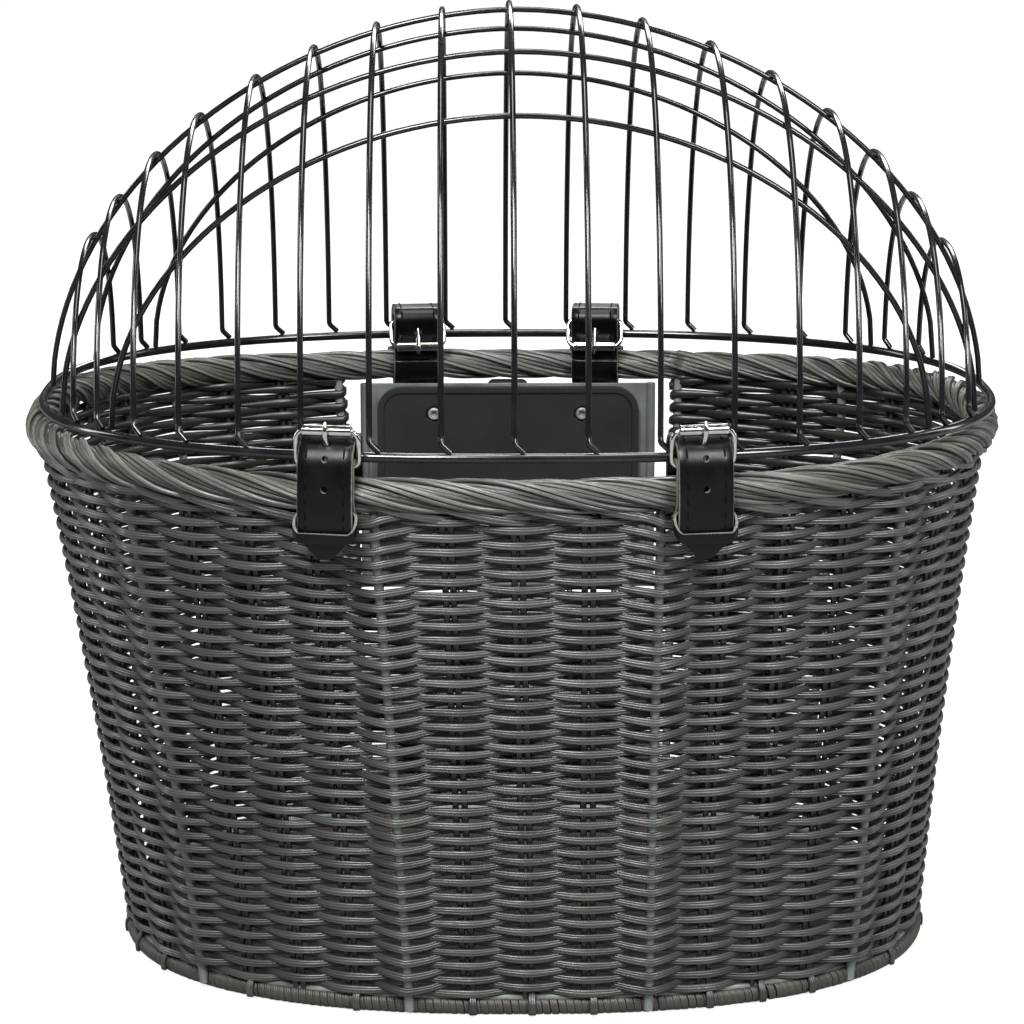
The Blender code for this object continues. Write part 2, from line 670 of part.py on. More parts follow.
def basket_wall(room_for_posts):
    # a closed shell round the outline. Outside, each strand that passes in front of a stake is a
    # long low diamond: the quads are split along the line between the strands behind.
    bm = bmesh.new()
    lines = [weave_column(bm, column) for column in weave_columns()]
    for (outer, stands_out, inner), (next_outer, _, next_inner) in zip(lines, lines[1:] + lines[:1]):
        for row in range(WEAVE_ROWS - 1):
            a, b, c, d = outer[row], next_outer[row], next_outer[row + 1], outer[row + 1]
            if stands_out[row]:
                bm.faces.new((a, b, d))
                bm.faces.new((b, c, d))
            else:
                bm.faces.new((a, b, c))
                bm.faces.new((a, c, d))
        for row in range(WALL_ROWS):
            bm.faces.new((inner[row], inner[row + 1], next_inner[row + 1], next_inner[row]))
        bm.faces.new((outer[0], inner[0], next_inner[0], next_outer[0]))
        bm.faces.new((outer[-1], next_outer[-1], next_inner[-1], inner[-1]))
    mesh = bpy.data.meshes.new("basket_wall")
    bm.to_mesh(mesh)
    bm.free()
    wall = add_object("basket_wall", mesh, woven)

    window = block("window", (-1, 0, 0), (1, 1, 1), woven, guides)
    for vert in window.data.vertices:
        height = RIM_HEIGHT if vert.co.z > 0 else WINDOW_BOTTOM
        side = math.copysign(window_half_width(height), vert.co.x)
        shift = BASE_SHIFT * (1 - height / RIM_HEIGHT)
        vert.co = (side + shift, vert.co.y * (RIM_HALF_DEPTH + OVERRUN), height)
    cut(wall, window, *room_for_posts, plate_rail("rail_room", FRAME_WIRE_RADIUS + GAP))
    for where in ("front_left", "front_right"):
        bottom = -ROPE_DROP - ROPE_WRAP - LEATHER / 2 - 2 * GAP
        half = HALF_STRAP + 2 * GAP
        slot = block("slot_" + where, (-half, -ROPE_WRAP, bottom), (half, ROPE_WRAP, bottom + OVERRUN),
                     woven, guides)
        slot.matrix_world = strap_place(where)
        cut(wall, slot)


# Handlebar plates

def round_corners(half_x, half_y, radius, steps=BEND_STEPS):
    outline = []
    for sx, sy, start in ((1, 1, 0), (-1, 1, 90), (-1, -1, 180), (1, -1, 270)):
        for i in range(steps + 1):
            turn = math.radians(start + 90 * i / steps)
            outline.append((sx * (half_x - radius) + radius * math.cos(turn),
                            sy * (half_y - radius) + radius * math.sin(turn)))
    return outline


def stand_up(obj, back, middle_height, thickness):
    # lays a flat shape in an upright plane whose rear face is at the given depth
    upright = Matrix.Rotation(math.pi / 2, 4, "X")
    obj.matrix_world = Matrix.Translation((0, back - thickness / 2, middle_height)) @ upright
    return as_mesh(obj)


def bolt_places():
    for row in range(2):
        for side in (-1, 1):
            yield side * BOLT_HALF_SPACING, PLATE_TOP - BOLT_TOP_DROP - row * BOLT_ROW_SPACING


def bolt_axis(x, z, y):
    return Matrix.Translation((x, y, z)) @ Matrix.Rotation(-math.pi / 2, 4, "X")


def frame_plate():
    plate = block("frame_plate", (-PLATE_HALF_WIDTH + HEM_RADIUS, PLATE_FRONT, PLATE_BOTTOM),
                  (PLATE_HALF_WIDTH - HEM_RADIUS, PLATE_BACK, PLATE_TOP), zinc)
    for side in (-1, 1):
        hem = rod("hem", HEM_RADIUS, PLATE_BOTTOM, PLATE_TOP, zinc, collection=guides)
        hem.location = (side * (PLATE_HALF_WIDTH - HEM_RADIUS), PLATE_BACK - PLATE_THICKNESS / 2, 0)
        fuse(plate, hem)
    return plate


def backing_plate():
    outline = round_corners(BACKING_HALF_WIDTH, BACKING_HEIGHT / 2, BACKING_CORNER)
    plate = flat_shape("backing_plate", outline, BACKING_THICKNESS, black_plastic)
    middle = PLATE_TOP - BACKING_DROP - BACKING_HEIGHT / 2
    return stand_up(plate, PLATE_FRONT - GAP, middle, BACKING_THICKNESS)


def adapter_plate():
    outline = round_corners(ADAPTER_HALF_WIDTH, ADAPTER_HEIGHT / 2, ADAPTER_CORNER)
    plate = flat_shape("adapter_plate", outline, ADAPTER_THICKNESS, black_plastic)
    front = PLATE_BACK + GAP
    plate = stand_up(plate, front + ADAPTER_THICKNESS, ADAPTER_TOP - ADAPTER_HEIGHT / 2, ADAPTER_THICKNESS)
    top = RIM_HEIGHT - RIM_ROPE_RADIUS - GAP
    fuse(plate, block("adapter_tongue", (-TONGUE_HALF_WIDTH, front + GAP, ADAPTER_TOP - OVERRUN),
                      (TONGUE_HALF_WIDTH, front + GAP + TONGUE_THICKNESS, top), black_plastic, guides))
    return plate


def handlebar_plates():
    plates = (frame_plate(), backing_plate(), adapter_plate())
    backing_front = PLATE_FRONT - GAP - BACKING_THICKNESS
    seat = backing_front + BOLT_HEAD_HEIGHT + GAP
    for number, (x, z) in enumerate(bolt_places(), 1):
        hole = rod("bolt_hole", BOLT_RADIUS + GAP, -BACKING_THICKNESS, BOLT_LENGTH + GAP, zinc,
                   collection=guides)
        hole.matrix_world = bolt_axis(x, z, seat)
        pocket = rod("hex_pocket", POCKET_RADIUS, -BACKING_THICKNESS, 0, zinc, sides=6, collection=guides)
        pocket.matrix_world = bolt_axis(x, z, seat)
        for plate in plates:
            cut(plate, hole)
        cut(plates[1], pocket)
        bolt = rod("plate_bolt_" + str(number), BOLT_HEAD_RADIUS, -GAP - BOLT_HEAD_HEIGHT, -GAP, zinc)
        bolt.matrix_world = bolt_axis(x, z, seat)
        shank = rod("bolt_shank", BOLT_RADIUS, -BOLT_HEAD_HEIGHT / 2, BOLT_LENGTH, zinc, collection=guides)
        shank.matrix_world = bolt_axis(x, z, seat)
        fuse(bolt, shank)


# Wire lid

def dome_height(x):
    return DOME_HEIGHT * (1 - abs(x / RING_HALF_WIDTH) ** DOME_END_POWER) ** (1 / DOME_END_POWER)


def foot_path(angle, direction, height):
    # the bent foot lies along the ring from the wire's end
    x, y = superellipse(angle, RING_HALF_WIDTH, RING_HALF_DEPTH)
    ahead = Vector(superellipse(angle + direction * PROBE, RING_HALF_WIDTH, RING_HALF_DEPTH)) - Vector((x, y))
    ahead = ahead.normalized() * RIB_FOOT
    return Vector((x + ahead.x + RING_SHIFT, y + ahead.y, height))


def dome_half_depth(x):
    return DOME_HALF_DEPTH * (1 - abs(x / RING_HALF_WIDTH) ** OUTLINE_POWER) ** (1 / OUTLINE_POWER)


def dome_rise(x, y):
    # height of the cross wires' surface over the ring
    inner_share = min(1, abs(y) / dome_half_depth(x))
    return dome_height(x) * (1 - inner_share ** DOME_SIDE_POWER) ** (1 / DOME_SIDE_POWER)


def under_dome(x, y, depth):
    # a point this far inside the cross wires' surface, square to it
    slope_x = (dome_rise(x + WELD, y) - dome_rise(x - WELD, y)) / (2 * WELD)
    slope_y = (dome_rise(x, y + WELD) - dome_rise(x, y - WELD)) / (2 * WELD)
    inwards = Vector((slope_x, slope_y, -1)).normalized()
    return Vector((x + RING_SHIFT, y, RING_HEIGHT + dome_rise(x, y))) + inwards * depth


def rib(number, share):
    # a cross wire from the ring's front to its back, with a point where it crosses each hoop
    x = share * RING_HALF_WIDTH
    crest = dome_height(x)
    half_depth = dome_half_depth(x)
    foot = RING_RADIUS + GAP + LID_WIRE_RADIUS
    ring_half = half_depth * RING_HALF_DEPTH / DOME_HALF_DEPTH
    first = math.asin(((foot + LID_WIRE_RADIUS) / crest) ** (DOME_SIDE_POWER / 2))
    turns = [first, math.pi - first]
    for hoop_share in hoop_shares:
        side = hoop_share * RING_HALF_DEPTH / half_depth
        if abs(side) < 1:
            turns.append(math.acos(math.copysign(abs(side) ** (DOME_SIDE_POWER / 2), side)))
    turns.sort()
    path = [foot_path(share_angle(share, False), 1, RING_HEIGHT + foot),
            Vector((x + RING_SHIFT, -ring_half, RING_HEIGHT + foot))]
    for start, end in zip(turns, turns[1:]):
        steps = math.ceil((end - start) / math.radians(RIB_TURN))
        for i in range(steps):
            y, z = superellipse(start + (end - start) * i / steps, half_depth, crest, DOME_SIDE_POWER)
            path.append(Vector((x + RING_SHIFT, -y, RING_HEIGHT + z)))
    path += [Vector((x + RING_SHIFT, half_depth * math.cos(first) ** (2 / DOME_SIDE_POWER), path[2].z)),
             Vector((x + RING_SHIFT, ring_half, RING_HEIGHT + foot)),
             foot_path(share_angle(share, True), -1, RING_HEIGHT + foot)]
    tube("rib_" + str(number).zfill(2), path, LID_WIRE_RADIUS, black_wire)


def hoop(number, share):
    # a long wire from the ring's left to its right, just under the cross wires that it meets
    under = 2 * LID_WIRE_RADIUS + HOOP_GAP
    y = share * RING_HALF_DEPTH
    reach = RING_HALF_WIDTH * (1 - abs(share) ** OUTLINE_POWER) ** (1 / OUTLINE_POWER)
    crossed = [rib_share * RING_HALF_WIDTH for rib_share in rib_shares
               if abs(rib_share) * RING_HALF_WIDTH < reach - HOOP_END]
    left = [-reach + (reach + crossed[0]) * end_share for end_share in hoop_end_shares]
    right = [reach - (reach - crossed[-1]) * end_share for end_share in reversed(hoop_end_shares)]
    path = [under_dome(x, y, under) for x in left + crossed + right]
    foot = RING_HEIGHT + (RING_RADIUS + LID_WIRE_RADIUS) / math.sqrt(2) + GAP
    ends = [Vector((side * (reach - under) + RING_SHIFT, y, foot)) for side in (-1, 1)]
    tube("hoop_" + str(number), [ends[0]] + path + [ends[1]], LID_WIRE_RADIUS, black_wire)


def lid():
    ring = []
    for angle in angles:
        x, y = superellipse(angle, RING_HALF_WIDTH, RING_HALF_DEPTH)
        ring.append((x + RING_SHIFT, y, RING_HEIGHT))
    tube("dome_ring", ring, RING_RADIUS, black_wire, closed=True)
    for number, share in enumerate(rib_shares, 1):
        rib(number, share)
    for number, share in enumerate(hoop_shares, 1):
        hoop(number, share)


# Straps

def strap(where, place, band_path, tongue_path, heel, roller):
    band = ribbon("strap_" + where + "_band", band_path, leather, place)
    tongue = ribbon("strap_" + where + "_tongue", tongue_path, leather, place)
    buckle(where, place, heel, roller)
    # the prong's winding sits in a slot of the heel loop
    reach = HEEL_LOOP + LEATHER
    slot = block("slot_" + where + "_heel", (-PRONG_SLOT / 2, heel[0] - reach, heel[1] - reach),
                 (PRONG_SLOT / 2, heel[0] + reach, heel[1] + reach), leather, guides)
    slot.matrix_world = place
    cut(band, slot)
    return tongue


def over_roller(roller, up, out):
    # the prong's last stretch: it crosses the roller's outer side and ends just past it
    clear = ROLLER_RADIUS + GAP + PRONG_RADIUS
    middle = Vector(roller) + out * clear
    end = middle + up * PRONG_REACH - out * PRONG_HOOK
    return [middle - up * PRONG_RADIUS, middle + up * PRONG_RADIUS, end]


def front_strap(where):
    place = strap_place(where)
    outer = ROPE_WRAP + LAYER
    heel = (FRONT_HEEL_ACROSS, -FRONT_HEEL_DROP)
    roller = (outer - FRONT_BEND, FRONT_TOP + LEATHER / 2 + GAP + ROLLER_RADIUS)
    tongue = strap(where, place, front_band(), front_tongue(), heel, roller)
    slant = math.radians(PRONG_HOLE_TURN)
    out = Vector((math.cos(slant), math.sin(slant)))
    crossing = Vector((outer - FRONT_BEND, FRONT_TOP - FRONT_BEND)) + out * FRONT_BEND
    clear = BUCKLE_WIRE_RADIUS + GAP + PRONG_RADIUS
    start = Vector(heel) + Vector((clear, clear))
    ending = over_roller(roller, Vector((0, 1)), Vector((1, 0)))
    prong(where, place, heel, PRONG_WINDING, [start, crossing] + ending)
    cut(tongue, hole_through("prong_hole_" + where, crossing, out, PRONG_HOLE_RADIUS, place))
    for number in range(FRONT_HOLES):
        spot = (outer, FRONT_HOLE_RISE - number * HOLE_SPACING)
        cut(tongue, hole_through("hole_%s_%d" % (where, number), spot, (1, 0), STRAP_HOLE_RADIUS, place))
    keeper(where, place, outer, outer, -FRONT_KEEPER_DROP, HALF_STRAP)


def rear_strap(where):
    place = strap_place(where)
    heel = (REAR_HEEL_ACROSS, REAR_HEEL_RISE)
    roller = (ROPE_WRAP + LEATHER / 2 + GAP + ROLLER_RADIUS, -REAR_ROLLER_DROP)
    tongue = strap(where, place, rear_band(), rear_tongue(), heel, roller)
    before = Vector((ROPE_WRAP, -REAR_ROLLER_DROP + REAR_HOLE_RISE))
    after = Vector((heel[0] + HEEL_LOOP + LAYER, heel[1]))
    clear = BUCKLE_WIRE_RADIUS + GAP + PRONG_RADIUS
    start = Vector(heel) + Vector((clear, -clear))
    ending = over_roller(roller, Vector((0, -1)), Vector((1, 0)))
    crossing = intersect_line_line_2d(start, ending[0], before, after)
    prong(where, place, heel, -PRONG_WINDING, [start] + ending)
    out = (ending[0] - start).normalized()
    cut(tongue, hole_through("prong_hole_" + where, crossing, out, PRONG_HOLE_RADIUS, place))
    keeper(where, place, -ROPE_WRAP - LAYER, -ROPE_WRAP, -REAR_KEEPER_DROP, HALF_STRAP)


for_posts = post_wires("post_room_", FRAME_WIRE_RADIUS + GAP)
floor_board()
base_border()
wire_frame()
rim_border(for_posts)
basket_wall(for_posts)
handlebar_plates()
lid()
front_strap("front_left")
front_strap("front_right")
rear_strap("rear_left")
rear_strap("rear_right")
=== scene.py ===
import math

import bmesh
import bpy
import numpy as np
from mathutils import Matrix, Vector


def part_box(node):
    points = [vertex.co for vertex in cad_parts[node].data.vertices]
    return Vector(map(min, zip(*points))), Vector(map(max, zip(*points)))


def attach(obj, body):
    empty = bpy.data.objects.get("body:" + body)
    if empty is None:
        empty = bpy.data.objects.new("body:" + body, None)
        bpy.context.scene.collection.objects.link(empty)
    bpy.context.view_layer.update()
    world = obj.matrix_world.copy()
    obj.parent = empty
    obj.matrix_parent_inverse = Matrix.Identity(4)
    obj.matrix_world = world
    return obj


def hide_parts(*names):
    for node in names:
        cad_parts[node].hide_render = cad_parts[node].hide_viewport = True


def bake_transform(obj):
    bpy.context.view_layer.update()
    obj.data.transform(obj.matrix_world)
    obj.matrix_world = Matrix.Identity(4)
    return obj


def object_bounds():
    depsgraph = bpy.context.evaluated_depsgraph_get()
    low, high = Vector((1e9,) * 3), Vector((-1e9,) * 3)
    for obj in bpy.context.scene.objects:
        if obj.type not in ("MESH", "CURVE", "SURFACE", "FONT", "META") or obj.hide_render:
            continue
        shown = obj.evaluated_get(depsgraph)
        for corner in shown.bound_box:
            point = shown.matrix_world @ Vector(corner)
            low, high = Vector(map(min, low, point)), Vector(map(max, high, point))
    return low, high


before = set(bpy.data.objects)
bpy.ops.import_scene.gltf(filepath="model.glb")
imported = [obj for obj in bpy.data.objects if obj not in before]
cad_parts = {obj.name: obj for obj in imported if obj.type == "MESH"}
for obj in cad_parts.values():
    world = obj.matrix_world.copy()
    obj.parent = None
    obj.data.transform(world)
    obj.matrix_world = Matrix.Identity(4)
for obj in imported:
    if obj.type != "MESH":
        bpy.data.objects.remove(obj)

# Woven dog basket for a bicycle: a wicker wall round a wire frame, a twisted rope border,
# a domed wire lid and four buckled leather straps. Metres, front towards -Y.

mm = 0.001
cadLow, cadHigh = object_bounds()
print("frame loaded")

# Object helpers


def linkObject(name, data):
    item = bpy.data.objects.new(name, data)
    bpy.context.collection.objects.link(item)
    return item


def selectOnly(*pieces):
    bpy.ops.object.select_all(action="DESELECT")
    for piece in pieces:
        piece.select_set(True)
    bpy.context.view_layer.objects.active = pieces[0]


def settle(piece, body, slotName, *nodes):
    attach(piece, body)
    if nodes:
        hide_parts(*nodes)


# Shader helpers: inputs and values are plain numbers or the sockets that feed them


def addNode(tree, kind, inputs=None, **settings):
    node = tree.nodes.new(kind)
    for key, value in settings.items():
        setattr(node, key, value)
    for key, value in (inputs or {}).items():
        socket = node.inputs[key]
        if isinstance(value, bpy.types.NodeSocket):
            tree.links.new(value, socket)
        else:
            socket.default_value = value
    return node


def mathNode(tree, operation, first, second=0.0):
    return addNode(tree, "ShaderNodeMath", {0: first, 1: second}, operation=operation).outputs[0]


def weighted(tree, *terms, plus=0.0):
    # the sum of value times factor over the terms, and a constant
    total = plus
    for value, factor in terms:
        total = mathNode(tree, "ADD", mathNode(tree, "MULTIPLY", value, factor), total)
    return total


def rampNode(tree, factor, stops):
    node = addNode(tree, "ShaderNodeValToRGB", {"Fac": factor})
    elements = node.color_ramp.elements
    while len(elements) < len(stops):
        elements.new(0.5)
    for element, (position, colour) in zip(elements, stops):
        element.position = position
        element.color = (*colour, 1)
    return node.outputs["Color"]


def mixColour(tree, factor, first, second, blend="MIX"):
    # the colour sockets of a Mix node are numbers 6 and 7
    return addNode(tree, "ShaderNodeMix", {0: factor, 6: first, 7: second},
                   data_type="RGBA", blend_type=blend).outputs[2]


def noiseNode(tree, vector, scale, detail=3.0, roughness=0.5):
    return addNode(tree, "ShaderNodeTexNoise",
                   {"Vector": vector, "Scale": scale, "Detail": detail, "Roughness": roughness}).outputs["Fac"]


def objectPlace(tree, stretch=(1, 1, 1)):
    place = addNode(tree, "ShaderNodeTexCoord").outputs["Object"]
    return addNode(tree, "ShaderNodeMapping", {"Vector": place, "Scale": stretch}).outputs[0]


def attributeNode(tree, name):
    return addNode(tree, "ShaderNodeAttribute", attribute_name=name).outputs["Fac"]


def bumpInto(tree, shader, height, distance, strength=1.0):
    bump = addNode(tree, "ShaderNodeBump", {"Height": height, "Distance": distance, "Strength": strength})
    tree.links.new(bump.outputs[0], shader.inputs["Normal"])


def startMaterial(name, roughness, metallic=0.0, specular=0.5):
    material = bpy.data.materials.new(name)
    material.use_nodes = True
    shader = material.node_tree.nodes["Principled BSDF"]
    shader.inputs["Roughness"].default_value = roughness
    shader.inputs["Metallic"].default_value = metallic
    shader.inputs["Specular IOR Level"].default_value = specular
    return material, material.node_tree, shader


def feed(tree, shader, colour, roughness=None):
    tree.links.new(colour, shader.inputs["Base Color"])
    if roughness is not None:
        tree.links.new(roughness, shader.inputs["Roughness"])


# Camera, light and floor

studio = {
    "lens": 121.3,                       # mm on a 36 mm sensor
    "sensor": 36,
    "clip": (0.05, 100),
    "place": (-0.0204, -1.5409, 0.520),
    "pitch": 12.08,                      # degrees down
    "heading": -0.76,
    "aim": (0, 0, 0.2),                  # where every lamp points
    "floorHalf": 30.0,
    "floorDrop": 0.2 * mm,
    "worldStrength": 0.07,
    "floorShade": 0.3,
    "floorGlow": (0.8, 1.02),            # to the camera alone, near the basket and far off
    "floorReach": (0.45, 1.6),
}
lamps = {                                # place, size across and up, watts
    "keyLamp": ((-0.5, -1.6, 1.95), (0.6, 1.0), 76),
    "fillLamp": ((1.05, -1.45, 1.55), (0.5, 1.0), 40),
    "topLamp": ((0.1, 0.0, 2.3), (1.3, 0.7), 24),
    "leftLamp": ((-2.0, 0.5, 0.8), (0.25, 1.4), 12),
    "rightLamp": ((2.0, 0.6, 0.9), (0.25, 1.4), 10),
    "backLamp": ((0.15, 2.0, 1.3), (1.2, 0.6), 16),
}


def makeCamera():
    data = bpy.data.cameras.new("photoCamera")
    data.lens = studio["lens"]
    data.sensor_width = studio["sensor"]
    data.clip_start, data.clip_end = studio["clip"]
    camera = linkObject("photoCamera", data)
    camera.location = studio["place"]
    camera.rotation_euler = (math.radians(90 - studio["pitch"]), 0, math.radians(studio["heading"]))
    bpy.context.scene.camera = camera


def makeLamp(name, place, size, power):
    lamp = bpy.data.lights.new(name, "AREA")
    lamp.shape = "RECTANGLE"
    lamp.size, lamp.size_y = size
    lamp.energy = power
    holder = linkObject(name, lamp)
    holder.location = place
    holder.rotation_euler = (Vector(studio["aim"]) - Vector(place)).to_track_quat("-Z", "Y").to_euler()


def makeWorld():
    world = bpy.data.worlds.new("whiteRoom")
    world.use_nodes = True
    bpy.context.scene.world = world
    tree = world.node_tree
    rays = addNode(tree, "ShaderNodeLightPath").outputs
    seen = mathNode(tree, "MAXIMUM", rays["Is Camera Ray"], rays["Is Transmission Ray"])
    level = addNode(tree, "ShaderNodeMix", {"Factor": seen, "A": studio["worldStrength"], "B": 1})
    background = tree.nodes["Background"]
    background.inputs["Color"].default_value = (1, 1, 1, 1)
    tree.links.new(level.outputs["Result"], background.inputs["Strength"])


def makeFloor():
    # the floor shows white to the camera and keeps the basket's shadow
    bpy.ops.object.select_all(action="DESELECT")
    bpy.ops.mesh.primitive_plane_add(size=2 * studio["floorHalf"], location=(0, 0, 0))
    floor = bpy.context.object
    floor.name = "floor"
    floor.data.transform(Matrix.Translation((0, 0, -studio["floorDrop"])))
    material, tree, shader = startMaterial("whiteFloor", 1, specular=0)
    shader.inputs["Base Color"].default_value = (studio["floorShade"],) * 3 + (1,)
    place = addNode(tree, "ShaderNodeTexCoord").outputs["Object"]
    away = addNode(tree, "ShaderNodeVectorMath", {0: place}, operation="LENGTH").outputs["Value"]
    (near, far), (dim, bright) = studio["floorReach"], studio["floorGlow"]
    level = addNode(tree, "ShaderNodeMapRange", {"Value": away, "From Min": near, "From Max": far,
                                                 "To Min": dim, "To Max": bright}).outputs["Result"]
    seen = addNode(tree, "ShaderNodeLightPath").outputs["Is Camera Ray"]
    glow = addNode(tree, "ShaderNodeEmission", {"Strength": mathNode(tree, "MULTIPLY", seen, level)})
    both = addNode(tree, "ShaderNodeAddShader", {0: shader.outputs[0], 1: glow.outputs[0]})
    tree.links.new(both.outputs[0], tree.nodes["Material Output"].inputs["Surface"])
    floor.data.materials.append(material)


makeCamera()
for name, (place, size, power) in lamps.items():
    makeLamp(name, place, size, power)
makeWorld()
makeFloor()
bpy.context.scene.view_settings.view_transform = "Standard"
print("camera, lamps and floor ready")

# Materials

strandFinish = {
    "roughness": 0.35,
    "pale": (0.088, 0.0900, 0.0765),
    "dark": (0.020, 0.0206, 0.0178),
    "mixTone": 0.55,             # what the strand's own tone, its streaks and patches add to its paleness
    "mixStreaks": 0.75,
    "mixPatches": 0.4,
    "mixBase": -0.42,
    # painted shade in the strand's two grooves
    "grooveShade": 0.13,
    "grooveHalf": 0.03,          # of the way round the strand
    "paintedShade": 0.68,              # painted shade: how much darker a strand is painted where it lies back, as where it passes behind
    "underside": 0.35,           # painted shade on the strand's two edges and its back
    "topSpan": (0.09, 0.66),     # of the way round, between the two shaded stretches
    "undersideFrom": 0.75,
    "streaksAlong": 26,          # per metre
    "streaksAround": 9,
    "toneStep": 57.0,            # sets the strands' noise apart
    "streakNoise": (1.0, 4.0, 0.6),
    "patchNoise": (1.0, 2.0),
    "patchPace": 0.5,            # the patches are this much slower than the streaks
    "roughSpread": 0.28,
    "bump": (0.25 * mm, 0.6),
}


def strandMaterial(name, tintAndShade=(1, 1, 1), gloss=0.65, roughest=0.48, grooves=(0.25, 0.5)):
    # the colour scale is a real tint for the foot border's wrap, and painted light or shade for the rope and
    # the stakes
    # grooved resin strand: u runs along it in metres, v once round it, tone is one value for each strand
    own = strandFinish
    material, tree, shader = startMaterial(name, own["roughness"], specular=gloss)
    uv = addNode(tree, "ShaderNodeUVMap", uv_map="along").outputs[0]
    parts = addNode(tree, "ShaderNodeSeparateXYZ", {0: uv})
    tone = attributeNode(tree, "tone")
    along = mathNode(tree, "MULTIPLY", parts.outputs[0], own["streaksAlong"])
    around = mathNode(tree, "MULTIPLY", parts.outputs[1], own["streaksAround"])
    apart = mathNode(tree, "MULTIPLY", tone, own["toneStep"])
    streakPlace = addNode(tree, "ShaderNodeCombineXYZ", {0: along, 1: around, 2: apart}).outputs[0]
    streaks = noiseNode(tree, streakPlace, *own["streakNoise"])
    slow = mathNode(tree, "MULTIPLY", along, own["patchPace"])
    patchPlace = addNode(tree, "ShaderNodeCombineXYZ", {0: slow, 1: apart}).outputs[0]
    patches = noiseNode(tree, patchPlace, *own["patchNoise"])
    level = weighted(tree, (tone, own["mixTone"]), (streaks, own["mixStreaks"]), (patches, own["mixPatches"]),
                     plus=own["mixBase"])
    dark, pale = (tuple(c * s for c, s in zip(own[key], tintAndShade)) + (1,) for key in ("dark", "pale"))
    body = mixColour(tree, addNode(tree, "ShaderNodeClamp", {0: level}).outputs[0], dark, pale)
    # painted shade: the ramp round the strand darkens its edges, its back and its grooves
    white, under, grooveShade = ((value,) * 3 for value in (1, own["underside"], own["grooveShade"]))
    stops = [(0.0, under), (own["topSpan"][0], white)]
    for spot in grooves:
        stops += [(spot - own["grooveHalf"], white), (spot, grooveShade), (spot + own["grooveHalf"], white)]
    stops += [(own["topSpan"][1], white), (own["undersideFrom"], under)]
    colour = mixColour(tree, 1.0, body, rampNode(tree, parts.outputs[1], stops), "MULTIPLY")
    # painted shade: the colour is darkened by the attribute that marks where the strand lies back
    behind = rampNode(tree, attributeNode(tree, "paintedShade"), [(0, white), (1, (1 - own["paintedShade"],) * 3)])
    colour = mixColour(tree, 1.0, colour, behind, "MULTIPLY")
    least = roughest - own["roughSpread"]
    feed(tree, shader, colour, weighted(tree, (streaks, own["roughSpread"]), plus=least))
    bumpInto(tree, shader, streaks, *own["bump"])
    return material


# Coatings drift softly in colour and gloss, with a fine grain. Noises are (scale, detail, roughness),
# gloss is (factor, base) for the roughness, bump (distance, strength).

coatings = {
    "greyGreenWire": {
        "roughness": 0.42, "stretch": (1, 1, 0.25),
        "clouds": (130, 4), "grain": (900, 2), "bump": (0.06 * mm, 0.5),
        "colours": [(0.25, (0.11, 0.125, 0.113)), (0.55, (0.16, 0.18, 0.163)), (0.8, (0.23, 0.25, 0.23))],
    },
    "glossyBlackWire": {
        "roughness": 0.2, "specular": 0.4, "coat": (0.4, 0.08), "clouds": (70, 3), "grain": (260, 2),
        "bump": (0.05 * mm, 0.35), "gloss": (0.16, 0.1),
        "colours": [(0.3, (0.004, 0.004, 0.0045)), (0.75, (0.010, 0.010, 0.011))],
    },
    "polishedChrome": {
        "roughness": 0.14, "metallic": 1.0, "clouds": (420, 4), "grain": (900, 2), "bump": (0.03 * mm, 0.3),
        "gloss": (0.16, 0.03), "colours": [(0.3, (0.50, 0.475, 0.45)), (0.65, (0.72, 0.70, 0.67))],
    },
    "mouldedBlackPlastic": {
        "roughness": 0.5, "clouds": (45, 3), "grain": (1900, 3, 0.7), "bump": (0.08 * mm, 0.5),
        "gloss": (0.25, 0.36), "glossFollows": "grain",
        "colours": [(0.3, (0.008, 0.008, 0.0083)), (0.7, (0.0145, 0.0145, 0.015))],
    },
}


def coatedMaterial(name):
    own = coatings[name]
    shine = own.get("metallic", 0.0), own.get("specular", 0.5)
    material, tree, shader = startMaterial(name, own["roughness"], *shine)
    place = objectPlace(tree, own.get("stretch", (1, 1, 1)))
    noises = {kind: noiseNode(tree, place, *own[kind]) for kind in ("clouds", "grain")}
    feed(tree, shader, rampNode(tree, noises["clouds"], own["colours"]))
    if "gloss" in own:
        factor, base = own["gloss"]
        rough = weighted(tree, (noises[own.get("glossFollows", "clouds")], factor), plus=base)
        tree.links.new(rough, shader.inputs["Roughness"])
    if "coat" in own:
        shader.inputs["Coat Weight"].default_value, shader.inputs["Coat Roughness"].default_value = own["coat"]
    bumpInto(tree, shader, noises["grain"], *own["bump"])
    return material


leatherFinish = {
    "roughness": 0.4,
    "specular": 0.26,
    "pores": 1500,
    "clouds": (95, 4),
    "fibres": (1400, 3),
    "fibreStretch": (1, 1, 0.4),
    "grain": [(0.3, (0.0012, 0.0012, 0.0013)), (0.7, (0.003, 0.003, 0.0032))],
    "raw": [(0.3, (0.085, 0.085, 0.073)), (0.7, (0.2, 0.2, 0.175))],
    "rawFrom": 0.55,
    "rawTo": 0.8,
    "roughClouds": 0.22,
    "roughRaw": 0.4,
    "roughBase": 0.2,
    "poreShare": 0.5,
    "bump": (0.07 * mm, 0.4),
}


